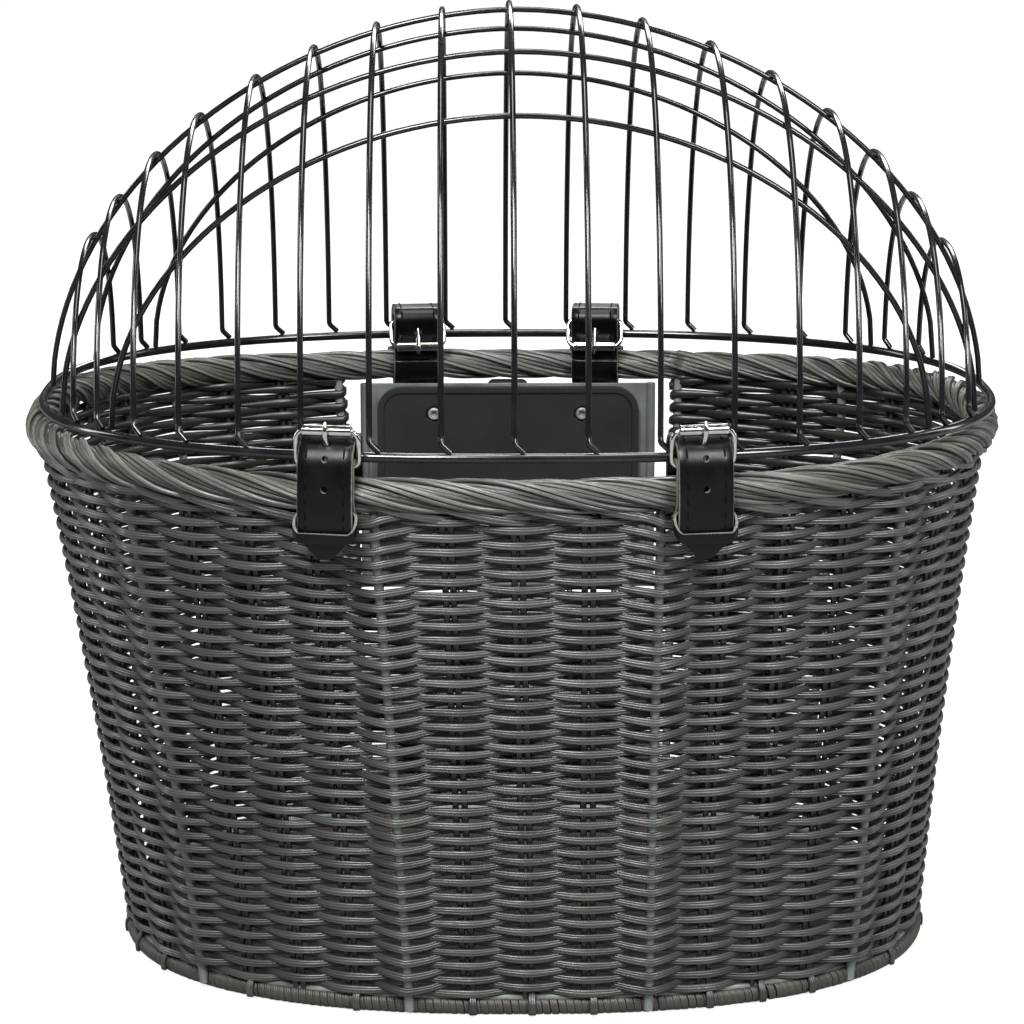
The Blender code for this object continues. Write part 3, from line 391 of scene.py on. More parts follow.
def leatherMaterial():
    # smooth black leather: fine pores, creases, and pale raw edges where the attribute says
    own = leatherFinish
    material, tree, shader = startMaterial("blackLeather", own["roughness"], specular=own["specular"])
    place = objectPlace(tree)
    pores = addNode(tree, "ShaderNodeTexVoronoi", {"Vector": place, "Scale": own["pores"]}).outputs["Distance"]
    clouds = noiseNode(tree, place, *own["clouds"])
    fibres = noiseNode(tree, objectPlace(tree, own["fibreStretch"]), *own["fibres"])
    mask = rampNode(tree, attributeNode(tree, "rawEdge"),
                    [(own["rawFrom"], (0, 0, 0)), (own["rawTo"], (1, 1, 1))])
    colour = mixColour(tree, mask, rampNode(tree, clouds, own["grain"]), rampNode(tree, fibres, own["raw"]))
    feed(tree, shader, colour, weighted(tree, (clouds, own["roughClouds"]), (mask, own["roughRaw"]),
                                        plus=own["roughBase"]))
    bumpInto(tree, shader, weighted(tree, (pores, own["poreShare"]), (clouds, 1)), *own["bump"])
    return material


threadFinish = {
    "roughness": 0.8,
    "specular": 0.08,
    "twist": {"Scale": 700, "Distortion": 1.5},
    "colours": [(0.2, (0.0015, 0.0015, 0.0015)), (0.9, (0.005, 0.005, 0.005))],
    "bump": (0.1 * mm, 0.6),
}


def threadMaterial():
    # twisted black thread
    own = threadFinish
    material, tree, shader = startMaterial("blackThread", own["roughness"], specular=own["specular"])
    twist = addNode(tree, "ShaderNodeTexWave", {"Vector": objectPlace(tree), **own["twist"]},
                    wave_type="BANDS", bands_direction="DIAGONAL").outputs["Fac"]
    feed(tree, shader, rampNode(tree, twist, own["colours"]))
    bumpInto(tree, shader, twist, *own["bump"])
    return material


zincFinish = {
    "roughness": 0.42,
    "clouds": (60, 4),
    "brushing": (2500, 2),
    "brushed": (1, 1, 0.02),     # stretches the noise upright
    "cloudShare": 0.7,
    "colourSpan": (0.35, 0.7),
    "gloss": (0.3, 0.24),
    "bump": (0.03 * mm, 0.4),
}


def zincMaterial(name, metallic, dark, pale):
    # zinc plating: slightly green, cloudy, with fine upright brushing
    own = zincFinish
    material, tree, shader = startMaterial(name, own["roughness"], metallic=metallic)
    clouds = noiseNode(tree, objectPlace(tree), *own["clouds"])
    brushing = noiseNode(tree, objectPlace(tree, own["brushed"]), *own["brushing"])
    mottle = weighted(tree, (clouds, own["cloudShare"]), (brushing, 1 - own["cloudShare"]))
    factor, base = own["gloss"]
    feed(tree, shader, rampNode(tree, mottle, list(zip(own["colourSpan"], (dark, pale)))),
         weighted(tree, (mottle, factor), plus=base))
    bumpInto(tree, shader, brushing, *own["bump"])
    return material


plywoodFinish = {
    "roughness": 0.75,
    "wander": (9, 4),
    "wanderStretch": (1, 6, 6),
    "wanderBy": 0.03,
    "pores": (1300, 3),
    "poreStretch": (0.05, 1, 1),
    "ringStretch": (0.12, 1, 1),
    "ringShare": 0.6,
    "rings": {"Scale": 42, "Distortion": 3.0, "Detail": 3.0, "Detail Scale": 1.4},
    # brown wood darkened with painted shade
    "colours": [(0.2, (0.016, 0.012, 0.009)), (0.55, (0.03, 0.023, 0.018)), (0.85, (0.048, 0.039, 0.031))],
    "bump": (0.12 * mm, 0.4),
}


def plywoodMaterial():
    # plywood, its brown darkened with painted shade for the basket's dim inside: long brown grain along X, with
    # darker pores
    own = plywoodFinish
    material, tree, shader = startMaterial("shadedPlywood", own["roughness"])
    wander = noiseNode(tree, objectPlace(tree, own["wanderStretch"]), *own["wander"])
    sideways = mathNode(tree, "MULTIPLY", wander, own["wanderBy"])
    shift = addNode(tree, "ShaderNodeCombineXYZ", {1: sideways}).outputs[0]
    warped = addNode(tree, "ShaderNodeVectorMath", {0: objectPlace(tree, own["ringStretch"]), 1: shift},
                     operation="ADD")
    rings = addNode(tree, "ShaderNodeTexWave", {"Vector": warped.outputs[0], **own["rings"]},
                    wave_type="BANDS", bands_direction="Y").outputs["Fac"]
    pores = noiseNode(tree, objectPlace(tree, own["poreStretch"]), *own["pores"])
    grain = weighted(tree, (rings, own["ringShare"]), (pores, 1 - own["ringShare"]))
    feed(tree, shader, rampNode(tree, grain, own["colours"]))
    bumpInto(tree, shader, pores, *own["bump"])
    return material


weaveStrand = strandMaterial("weaveStrand")
# painted light: the rope's strand is a paler copy of the weave's strand
litRopeStrand = strandMaterial("litRopeStrand", (1.9, 1.9, 1.9))
# painted shade: a darker copy of the strand for the stakes and the rope's core
shadedStrand = strandMaterial("shadedStrand", (0.8, 0.8, 0.8))
wrapStrand = strandMaterial("wrapStrand", (0.95, 0.9, 0.88), 0.4, 0.58)
greyWire = coatedMaterial("greyGreenWire")
blackWire = coatedMaterial("glossyBlackWire")
leather = leatherMaterial()
thread = threadMaterial()
chrome = coatedMaterial("polishedChrome")
zinc = zincMaterial("zincPlating", 0.65, (0.17, 0.187, 0.18), (0.30, 0.33, 0.32))
# painted light: a paler copy of the zinc for the bolts, whose heads sit in shaded pockets
litBoltZinc = zincMaterial("paintedLightZinc", 0.5, (0.22, 0.23, 0.225), (0.45, 0.47, 0.46))
plastic = coatedMaterial("mouldedBlackPlastic")
plywood = plywoodMaterial()
print("materials ready")

# The basket's own shape, taken from the frame

rimLow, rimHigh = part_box("rim_border")
footLow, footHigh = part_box("base_border")
basket = {
    "outlinePower": 2.4,
    "ropeRadius": 7.5 * mm,
    "riseShare": 3,              # power of the border's climb towards its ends
    "wallThickness": 5 * mm,
    "wallDip": 2 * mm,
    "windowBottom": 118.5 * mm,
    "windowRoom": 13.2 * mm,     # from the zinc plate's edge to the window's posts
    "frontPostShare": 0.28,
    "cornerPostShare": 0.775,
    "fineSteps": 6000,
    "wallTuck": 1.6 * mm,        # the woven wall lies this much inside the solid one
    "rimTuck": 1.0 * mm,         # and this much more at the rim
    "ropeTuck": 1.8 * mm,
}
rimHalfX = rimHigh.x - basket["ropeRadius"]
rimHalfY = rimHigh.y - basket["ropeRadius"]
rimHeight = rimLow.z + basket["ropeRadius"]
rimRise = rimHigh.z - basket["ropeRadius"] - rimHeight
footHalfX = (footHigh.x - footLow.x) / 2
footHalfY = (footHigh.y - footLow.y) / 2
footShift = (footHigh.x + footLow.x) / 2
wallTopX = rimHalfX + basket["wallThickness"] / 2
wallTopY = rimHalfY + basket["wallThickness"] / 2


def outlineXY(angle, halfX, halfY, power=basket["outlinePower"]):
    c, s = np.cos(angle), np.sin(angle)
    return halfX * np.sign(c) * np.abs(c) ** (2 / power), halfY * np.sign(s) * np.abs(s) ** (2 / power)


def outwardXY(x, y, halfX, halfY, power=basket["outlinePower"]):
    nx = np.sign(x) * np.abs(x / halfX) ** (power - 1) / halfX
    ny = np.sign(y) * np.abs(y / halfY) ** (power - 1) / halfY
    size = np.hypot(nx, ny)
    return nx / size, ny / size


def wallSurface(angle, height, outset):
    # points on the outside of the weave moved out by outset, and the level direction outwards
    share = height / rimHeight
    dip = 4 * share * (1 - share) * basket["wallDip"]
    halfX = footHalfX + (wallTopX - basket["rimTuck"] - footHalfX) * share - dip - basket["wallTuck"]
    halfY = footHalfY + (wallTopY - footHalfY) * share - dip
    x, y = outlineXY(angle, halfX, halfY)
    nx, ny = outwardXY(x, y, halfX, halfY)
    shift = footShift * (1 - share)
    flat = np.zeros_like(nx)
    points = np.stack([x + nx * outset + shift, y + ny * outset, height + flat], -1)
    return points, np.stack([nx, ny, flat], -1)


def rimSurface(angle, outset=0.0):
    x, y = outlineXY(angle, rimHalfX, rimHalfY)
    nx, ny = outwardXY(x, y, rimHalfX, rimHalfY)
    z = rimHeight + rimRise * np.abs(x / rimHalfX) ** basket["riseShare"]
    return np.stack([x + nx * outset, y + ny * outset, z], -1), np.stack([nx, ny, 0 * nx], -1)


def shareAngle(share, rear):
    angle = math.acos(math.copysign(abs(share) ** (basket["outlinePower"] / 2), share))
    return angle if rear else -angle


# Posts and stakes, in order round the outline from the window's right post, seen from the front.
# Each post: its share of the half width, whether it is at the back, and the stakes up to the next one.

windowShare = (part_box("frame_plate")[1].x + basket["windowRoom"]) / wallTopX
corner, front = basket["cornerPostShare"], basket["frontPostShare"]
postPlaces = [(windowShare, True, 2), (corner, True, 7), (corner, False, 3), (front, False, 3),
              (-front, False, 3), (-corner, False, 7), (-corner, True, 2), (-windowShare, True, 5)]

startAngle = shareAngle(windowShare, True)
fineAngles = startAngle - np.linspace(0, 2 * math.pi, basket["fineSteps"])
fineX, fineY = outlineXY(fineAngles, (footHalfX + wallTopX) / 2, (footHalfY + wallTopY) / 2)
fineRuns = np.concatenate([[0], np.cumsum(np.hypot(np.diff(fineX), np.diff(fineY)))])


def stakeRuns():
    # run along the outline of each post and stake, and which of them are posts
    postRuns = []
    for share, rear, _ in postPlaces:
        turned = (startAngle - shareAngle(share, rear)) % (2 * math.pi)
        postRuns.append(np.interp(turned, startAngle - fineAngles, fineRuns))
    postRuns.append(fineRuns[-1])
    runs, isPost = [], []
    for start, end, place in zip(postRuns, postRuns[1:], postPlaces):
        between = place[2]
        for step in range(between + 1):
            runs.append(start + (end - start) * step / (between + 1))
            isPost.append(step == 0)
    return runs + [postRuns[-1]], isPost


stakePositions, stakeIsPost = stakeRuns()
stakeCount = len(stakeIsPost)
postNumbers = [n for n in range(stakeCount) if stakeIsPost[n]]
windowEnd = postNumbers[-1]
frontPosts = postNumbers[3:5]


def angleAt(number):
    # outline angle at a place counted in stakes, whole numbers being stakes and posts
    run = np.interp(number, np.arange(stakeCount + 1), stakePositions)
    return np.interp(run, fineRuns, fineAngles)


def fromPost(number, posts=postNumbers):
    # distance, in stakes, to the nearest post, counted round the whole outline
    best = np.full(np.shape(number), 1e3)
    for post in posts:
        away = np.abs((number - post + stakeCount / 2) % stakeCount - stakeCount / 2)
        best = np.minimum(best, away)
    return best


# Swept strands. Every profile point is (across, out) in half widths and half thicknesses,
# listed anticlockwise as seen against the path.

groovedProfile = [(1.0, 0.0), (0.80, 0.72), (0.44, 0.93), (0.35, 0.66), (0.26, 0.98), (-0.26, 0.98),
                  (-0.35, 0.66), (-0.44, 0.93), (-0.80, 0.72), (-1.0, 0.0), (-0.62, -0.85), (0.62, -0.85)]
plainProfile = [(1.0, 0.0), (0.7, 0.75), (0.0, 1.0), (-0.7, 0.75), (-1.0, 0.0), (-0.6, -0.8), (0.6, -0.8)]


def unit(vectors):
    return vectors / np.linalg.norm(vectors, axis=-1, keepdims=True)


def sweepStrand(path, outward, halfWidth, halfThickness, profile, closed=False, tone=0.5, side=None,
                paintedShade=(0, 0)):
    # one strand as plain arrays: points, rings, the run along it for the UV map, and how much
    # painted shade its outer and inner sides get
    count = len(path)
    if closed:
        tangent = unit(np.roll(path, -1, 0) - np.roll(path, 1, 0))
    else:
        tangent = unit(np.gradient(path, axis=0))
    if side is None:
        side = unit(np.cross(tangent, outward))
    side = np.broadcast_to(side, path.shape)
    normal = unit(np.cross(side, tangent))
    halfWidth = np.broadcast_to(halfWidth, count)[:, None, None]
    halfThickness = np.broadcast_to(halfThickness, count)[:, None, None]
    shape = np.array(profile)
    points = (path[:, None, :] + side[:, None, :] * halfWidth * shape[None, :, :1]
              + normal[:, None, :] * halfThickness * shape[None, :, 1:])
    steps = np.linalg.norm(np.roll(path, -1, 0) - path, axis=1)
    run = np.concatenate([[0], np.cumsum(steps)])
    outer, inner = (np.broadcast_to(r, count)[:, None] for r in paintedShade)
    paintedShade = np.where(shape[:, 1] >= 0, outer, inner)
    return {"points": points.reshape(-1, 3), "rings": count, "sides": len(profile), "closed": closed,
            "run": run, "tone": tone, "paintedShade": paintedShade.ravel()}


def strandPiece(name, strands, material):
    # joins swept strands into one mesh, with a UV map, the tone of each strand and its painted shade where it
    # lies back
    points, quads, quadUv, caps, tones, paintedShades = [], [], [], [], [], []
    base = 0
    for strand in strands:
        rings, sides = strand["rings"], strand["sides"]
        last = rings if strand["closed"] else rings - 1
        i, p = np.meshgrid(np.arange(last), np.arange(sides), indexing="ij")
        i, p = i.ravel(), p.ravel()
        following = (i + 1) % rings
        nextSide = (p + 1) % sides
        quads.append(base + np.stack([i * sides + p, following * sides + p,
                                      following * sides + nextSide, i * sides + nextSide], 1))
        u0, u1 = strand["run"][i], strand["run"][i + 1]
        v0, v1 = p / sides, (p + 1) / sides
        quadUv.append(np.stack([u0, v0, u1, v0, u1, v1, u0, v1], 1))
        if not strand["closed"]:
            caps.append(base + np.arange(sides))
            caps.append(base + (rings - 1) * sides + np.arange(sides)[::-1])
        points.append(strand["points"])
        tones.append(np.full(rings * sides, strand["tone"]))
        paintedShades.append(strand["paintedShade"])
        base += rings * sides
    points = np.concatenate(points)
    quads = np.concatenate(quads)
    loops = np.concatenate([quads.ravel()] + caps)
    starts = np.concatenate([np.arange(len(quads)) * 4,
                             len(quads) * 4 + np.cumsum([0] + [len(c) for c in caps])[:-1]]).astype(int)
    mesh = bpy.data.meshes.new(name)
    mesh.vertices.add(len(points))
    mesh.vertices.foreach_set("co", points.astype(np.float32).ravel())
    mesh.loops.add(len(loops))
    mesh.loops.foreach_set("vertex_index", loops.astype(np.int32))
    mesh.polygons.add(len(starts))
    mesh.polygons.foreach_set("loop_start", starts.astype(np.int32))
    mesh.update(calc_edges=True)
    uv = np.zeros((len(loops), 2))
    uv[:len(quads) * 4] = np.concatenate(quadUv).reshape(-1, 2)
    layer = mesh.uv_layers.new(name="along")
    layer.data.foreach_set("uv", uv.astype(np.float32).ravel())
    for kind, values in (("tone", tones), ("paintedShade", paintedShades)):
        layer = mesh.attributes.new(kind, "FLOAT", "POINT")
        layer.data.foreach_set("value", np.concatenate(values).astype(np.float32))
    mesh.polygons.foreach_set("use_smooth", np.ones(len(starts), bool))
    mesh.materials.append(material)
    return linkObject(name, mesh)


# The weave: rows of strands that pass in front of and behind every other stake

weave = {
    "rows": 68,
    "firstRow": 10.6 * mm,
    "underRope": 0.2 * mm,
    "halfWidth": 2.05 * mm,
    "halfThickness": 1.1 * mm,
    "behindWider": 0.1,
    "narrowShare": 0.2,          # how much a strand narrows where it changes sides
    "depth": 3.2 * mm,           # middle of the weave behind its outer face
    "stakeSwing": 2.5 * mm,
    "stakeDroop": 0.6 * mm,      # a strand hangs lower in front of a stake and higher behind it
    "postSwing": 3.2 * mm,
    "postPush": 3.2 * mm,        # a post holds the weave out by this much
    "postDroop": 2.0 * mm,
    "behindDroop": 0.8 * mm,     # of the strands that pass behind a front post
    "postReach": 0.85,           # in stakes
    "droopPower": 1.5,
    "steps": 8,                  # between two stakes
    "waviness": 0.16 * mm,
    "wavinessEvery": 2.5,        # stakes
    "widthSpread": (0.95, 1.06),
    "curlTurns": (25, 50, 75, 92),   # where a strand's path turns round a window post, in degrees
    "seed": 11,
}
strapShares = {"front_left": -0.357, "front_right": 0.350, "rear_left": -0.215, "rear_right": 0.2065}
# the top rows make way for the front straps: power sets how few rows, edge how suddenly they dip
strapDip = {"depth": 3.4 * mm, "reach": 17 * mm, "power": 9, "edge": 4}


def rowHeight(share, angle):
    rim = rimSurface(angle)[0]
    top = rim[..., 2] - basket["ropeRadius"] - weave["underRope"]
    dip = 0
    for where in ("front_left", "front_right"):
        middle = rimSurface(np.array(shareAngle(strapShares[where], False)))[0]
        away = np.linalg.norm(rim[..., :2] - middle[:2], axis=-1) / strapDip["reach"]
        dip = dip + strapDip["depth"] * np.exp(-away ** strapDip["edge"])
    return weave["firstRow"] + (top - weave["firstRow"]) * share - dip * share ** strapDip["power"]


def weaveRow(row, shake):
    # one strand all round, or from window post to window post above the window's foot
    share = row / (weave["rows"] - 1)
    frontHeight = weave["firstRow"] + (rimHeight - basket["ropeRadius"] - weave["firstRow"]) * share
    windowed = frontHeight > basket["windowBottom"]
    last = windowEnd if windowed else stakeCount
    number = np.linspace(0, last, last * weave["steps"] + 1)
    if not windowed:
        number = number[:-1]
    angle = angleAt(number)
    bump = np.clip(1 - fromPost(number) / weave["postReach"], 0, 1)
    wave = np.cos(math.pi * number) * (-1) ** row
    swing = weave["stakeSwing"] + (weave["postSwing"] - weave["stakeSwing"]) * bump
    outset = -weave["depth"] + weave["postPush"] * bump + swing * wave
    height = rowHeight(share, angle) - weave["stakeDroop"] * wave * (1 - bump)
    droop = np.clip(1 - fromPost(number, frontPosts) / weave["postReach"], 0, 1)
    deepest = np.where(wave > 0, weave["postDroop"], weave["behindDroop"])
    height = height - deepest * droop ** weave["droopPower"]
    spots = np.arange(0, stakeCount + 1, weave["wavinessEvery"])
    slow = np.interp(number, spots, shake.normal(0, weave["waviness"], len(spots)))
    if not windowed:
        slow = slow * np.minimum(1, np.minimum(number, stakeCount - number))
    height = height + slow
    path, outward = wallSurface(angle, height, outset)
    crossing = np.sin(math.pi * number) ** 2
    halfWidth = weave["halfWidth"] * (1 - weave["narrowShare"] * crossing - weave["behindWider"] * wave)
    halfWidth = halfWidth * shake.uniform(*weave["widthSpread"])
    if windowed:
        path, outward, halfWidth = curlRoundPosts(path, outward, halfWidth, row)
    # painted shade: the outer side is darkened where the strand passes behind a stake, the inner side where it
    # passes in front
    behind = np.pad((1 - wave) / 2, (len(path) - len(wave)) // 2, mode="edge")
    return sweepStrand(path, outward, halfWidth, weave["halfThickness"], groovedProfile, not windowed,
                       shake.uniform(0, 1), paintedShade=(behind, 1 - behind))


def curlRoundPosts(path, outward, halfWidth, row):
    # the strand turns half way round the window's posts, up or down to the row that it goes on in
    pitch = (rimHeight - basket["ropeRadius"] - weave["firstRow"]) / (weave["rows"] - 1)
    turns = np.radians(weave["curlTurns"])
    side = 1 if row % 2 == 0 else -1
    ends = []
    for end, inner, up in ((0, 1, side), (-1, -2, -side)):
        away = unit(path[end] - path[inner])
        away[2] = 0
        away = away - outward[end] * np.dot(away, outward[end])
        away = away / np.linalg.norm(away)
        post = path[end] - outward[end] * side * weave["postSwing"]
        radial = (outward[end] * side * np.cos(turns)[:, None] + away * np.sin(turns)[:, None])
        spots = post + radial * weave["postSwing"]
        spots[:, 2] += up * pitch / 2 * np.sin(turns) ** 2
        ends.append((spots, radial * side))
    (first, firstFaces), (final, finalFaces) = ends
    path = np.concatenate([first[::-1], path, final])
    outward = np.concatenate([firstFaces[::-1], outward, finalFaces])
    halfWidth = np.concatenate([np.full(len(first), halfWidth[0]), halfWidth,
                                np.full(len(final), halfWidth[-1])])
    return path, outward, halfWidth


def makeWeave():
    shake = np.random.default_rng(weave["seed"])
    rows = [weaveRow(row, shake) for row in range(weave["rows"])]
    third = (weave["rows"] + 2) // 3
    for index, name in enumerate(("weaveLower", "weaveMiddle", "weaveUpper")):
        piece = strandPiece(name, rows[index * third:(index + 1) * third], weaveStrand)
        settle(piece, "root", "woven_strand", *(["basket_wall"] if index == 0 else []))
        print(name, "with", len(piece.data.polygons), "faces")


makeWeave()

# Stakes: two upright strands side by side, one of them folded down over the foot border

stakes = {
    "halfWidth": 1.3 * mm,
    "halfThickness": 1.0 * mm,
    "halfSpacing": 1.85 * mm,
    "foldHeights": (1.2 * mm, 3.5 * mm, 5.6 * mm, 8.5 * mm, 12 * mm),
    "foldOutsets": (0.9 * mm, 1.0 * mm, 0.6 * mm, -1.6 * mm, -3.2 * mm),
    "foldHalfWidth": 1.75 * mm,
    "foldShare": 0.62,           # of the stakes, folded down over the border
    "foldSteps": 8,
    "tuckedEnd": 6 * mm,
    "topShare": 1 / 3,           # of the rope's radius, under its middle
    "overWindow": 1 * mm,
    "step": 4.5 * mm,
    "wander": 0.2 * mm,
    "wanderSpots": 6,
    "widthSpread": (0.95, 1.1),
    "paintedShade": (0.8, 0.6),        # painted shade on the outer and inner side
    "seed": 5,
}


def makeStakes():
    shake = np.random.default_rng(stakes["seed"])
    strands = []
    for number in range(stakeCount):
        if stakeIsPost[number]:
            continue
        angle = float(angleAt(number))
        top = float(rimSurface(np.array(angle))[0][2]) - basket["ropeRadius"] * stakes["topShare"]
        if number > windowEnd:
            top = basket["windowBottom"] + stakes["overWindow"]
        for side in (-1, 1):
            folded = side > 0 and shake.uniform() < stakes["foldShare"]
            low = stakes["foldHeights"][0] if folded else stakes["tuckedEnd"]
            rough = np.arange(stakes["foldHeights"][-1], top, stakes["step"])
            bent = np.linspace(low, stakes["foldHeights"][-1], stakes["foldSteps"])[:-1]
            heights = np.concatenate([bent, rough, [top]])
            outset = np.interp(heights, stakes["foldHeights"], stakes["foldOutsets"])
            if not folded:
                outset = np.full(len(heights), -weave["depth"])
            path, outward = wallSurface(np.full(len(heights), angle), heights, outset)
            along = np.stack([-outward[:, 1], outward[:, 0], outward[:, 2]], -1)
            wander = shake.normal(0, stakes["wander"], stakes["wanderSpots"])
            wander = np.interp(heights, np.linspace(0, top, stakes["wanderSpots"]), wander)
            sideways = side * stakes["halfSpacing"] + wander
            path = path + along * sideways[:, None]
            width = stakes["halfWidth"] * shake.uniform(*stakes["widthSpread"])
            # painted shade, fading to none on the ends folded over the border
            paintedShade, inner = stakes["paintedShade"]
            if folded:
                width = np.interp(heights, stakes["foldHeights"][-2:], (stakes["foldHalfWidth"], width))
                paintedShade = np.interp(heights, stakes["foldHeights"][-2:], (0, paintedShade))
            strands.append(sweepStrand(path, outward, width, stakes["halfThickness"], groovedProfile, False,
                                       shake.uniform(0, 1), paintedShade=(paintedShade, inner)))
    piece = strandPiece("stakes", strands, shadedStrand)
    settle(piece, "root", "woven_strand")


makeStakes()
print("stakes ready")

# Wires, bent as curves and turned into meshes

wireSmoothAngle = math.radians(50)
cornerReach = 0.45               # a rounded corner takes at most this share of each stretch


def bendWires(name, paths, radius, material, sides=10, closed=False, radii=None):
    # one piece from several wires of one radius, each a list of points
    curve = bpy.data.curves.new(name, "CURVE")
    curve.dimensions = "3D"
    curve.bevel_depth = radius
    curve.bevel_resolution = (sides - 4) // 2
    curve.use_fill_caps = True
    for points in paths:
        spline = curve.splines.new("POLY")
        spline.points.add(len(points) - 1)
        for spot, place in zip(spline.points, points):
            spot.co = (*place, 1)
        if radii is not None:
            for spot, share in zip(spline.points, radii):
                spot.radius = share
        spline.use_cyclic_u = closed
    selectOnly(linkObject(name, curve))
    bpy.ops.object.convert(target="MESH")
    wire = bpy.context.object
    bpy.ops.object.shade_smooth_by_angle(angle=wireSmoothAngle)
    wire.data.materials.clear()
    wire.data.materials.append(material)
    return wire


def joinPieces(name, pieces):
    selectOnly(*pieces)
    bpy.ops.object.join()
    pieces[0].name = name
    return pieces[0]


def rounded(points, radius, steps=4):
    # the same path with each inner corner rounded by a small arc-like curve
    points = [Vector(p) for p in points]
    path = [points[0]]
    for before, corner, after in zip(points, points[1:], points[2:]):
        reach = min(radius, (corner - before).length * cornerReach, (after - corner).length * cornerReach)
        start = corner + (before - corner).normalized() * reach
        end = corner + (after - corner).normalized() * reach
        for i in range(steps + 1):
            t = i / steps
            path.append(start * (1 - t) ** 2 + corner * 2 * t * (1 - t) + end * t ** 2)
    path.append(points[-1])
    return path


# Wire frame inside the weave

wireFrame = {
    "radius": 2.1 * mm,
    "postFoot": 2.0 * mm,
    "lowRing": 7.4 * mm,
    "lowRingInset": 4.6 * mm,
    "ringSteps": 160,
    "footOutset": -0.6 * mm,
    "footBend": 14 * mm,
    "topBend": 14 * mm,
    "topInset": 3.2 * mm,
    "topShare": 0.7,             # of the rope's radius, under its middle
    "footSteps": 5,
    "postSteps": 14,
    "postFrom": 24 * mm,
    "railGap": 0.1 * mm,         # under the zinc plate
    "railCorner": 8 * mm,
}


def makeWireFrame():
    own = wireFrame
    around = np.linspace(0, 2 * math.pi, own["ringSteps"], endpoint=False)
    topRing = rimSurface(around)[0]
    lowRing = wallSurface(around, own["lowRing"] + 0 * around, -own["lowRingInset"])[0]
    rings = bendWires("frameRings", [topRing, lowRing], own["radius"], greyWire, closed=True)
    posts = []
    for number in postNumbers:
        angle = float(angleAt(number))
        rim = float(rimSurface(np.array(angle))[0][2])
        top = rim - basket["ropeRadius"] * own["topShare"]
        heights = np.concatenate([np.linspace(own["postFoot"], own["footBend"], own["footSteps"]),
                                  np.linspace(own["postFrom"], top, own["postSteps"])])
        outset = np.interp(heights, (own["lowRing"], own["footBend"], top - own["topBend"], top),
                           (own["footOutset"], 0, 0, -own["topInset"]))
        posts.append(wallSurface(np.full(len(heights), angle), heights, outset)[0])
    plateLow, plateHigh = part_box("frame_plate")
    railHeight = plateLow.z - own["radius"] - own["railGap"]
    ends = wallSurface(np.array([float(angleAt(windowEnd)), startAngle]), np.full(2, railHeight), 0)[0]
    middle = (plateLow.y + plateHigh.y) / 2
    rail = rounded([ends[0], (plateLow.x, middle, railHeight), (plateHigh.x, middle, railHeight), ends[1]],
                   own["railCorner"])
    uprights = bendWires("framePosts", posts + [rail], own["radius"], greyWire)
    piece = joinPieces("wireFrame", [rings, uprights])
    settle(piece, "root", "grey_wire", "wire_frame")


makeWireFrame()
print("wire frame ready")

# Rope border: five bundles of four flat strands, laid round the rim

rope = {
    "bundles": 5,
    "perBundle": 4,
    "frontRadius": 7.0 * mm,
    "endRadius": 7.2 * mm,
    "pitchMiddle": 138 * mm,
    "pitchEnds": 74 * mm,
    "step": 4 * mm,
    "valley": 1.5 * mm,          # a bundle's outer strands lie this much deeper
    "squeeze": 0.92,
    "halfWidth": 0.9 * mm,
    "halfThickness": 1.2 * mm,
    "unevenness": 0.3 * mm,
    "unevenSpots": 40,
    "wobble": 0.004,             # of a turn
    "wobbleSpots": 30,
    "endSpan": (0.55, 0.95),     # shares of the half width between which the lay gets steeper
    "proud": 0.3 * mm,
    "widthSpread": (0.97, 1.06),
    # painted shade on a bundle's outer strands, which lie deeper in the valleys
    "valleyPaintedShade": 0.45,
    "seed": 21,
    "core": 5.2 * mm,
}
tuckedEnd = {
    "reach": (-0.15, 1.25),      # in stakes, either side of the place where a strand's end goes in
    "steps": 14,
    "heights": (-3.2 * mm, 5.5 * mm),
    "climbPower": 1.4,
    "unevenness": 0.3 * mm,
    "outset": 0.4 * mm,
    "bulge": 1.2 * mm,
    "halfWidth": 2.0 * mm,
    "halfThickness": 0.95 * mm,
    # painted shade on the tucked ends
    "paintedShade": 0.5,
    "palest": 0.6,
}


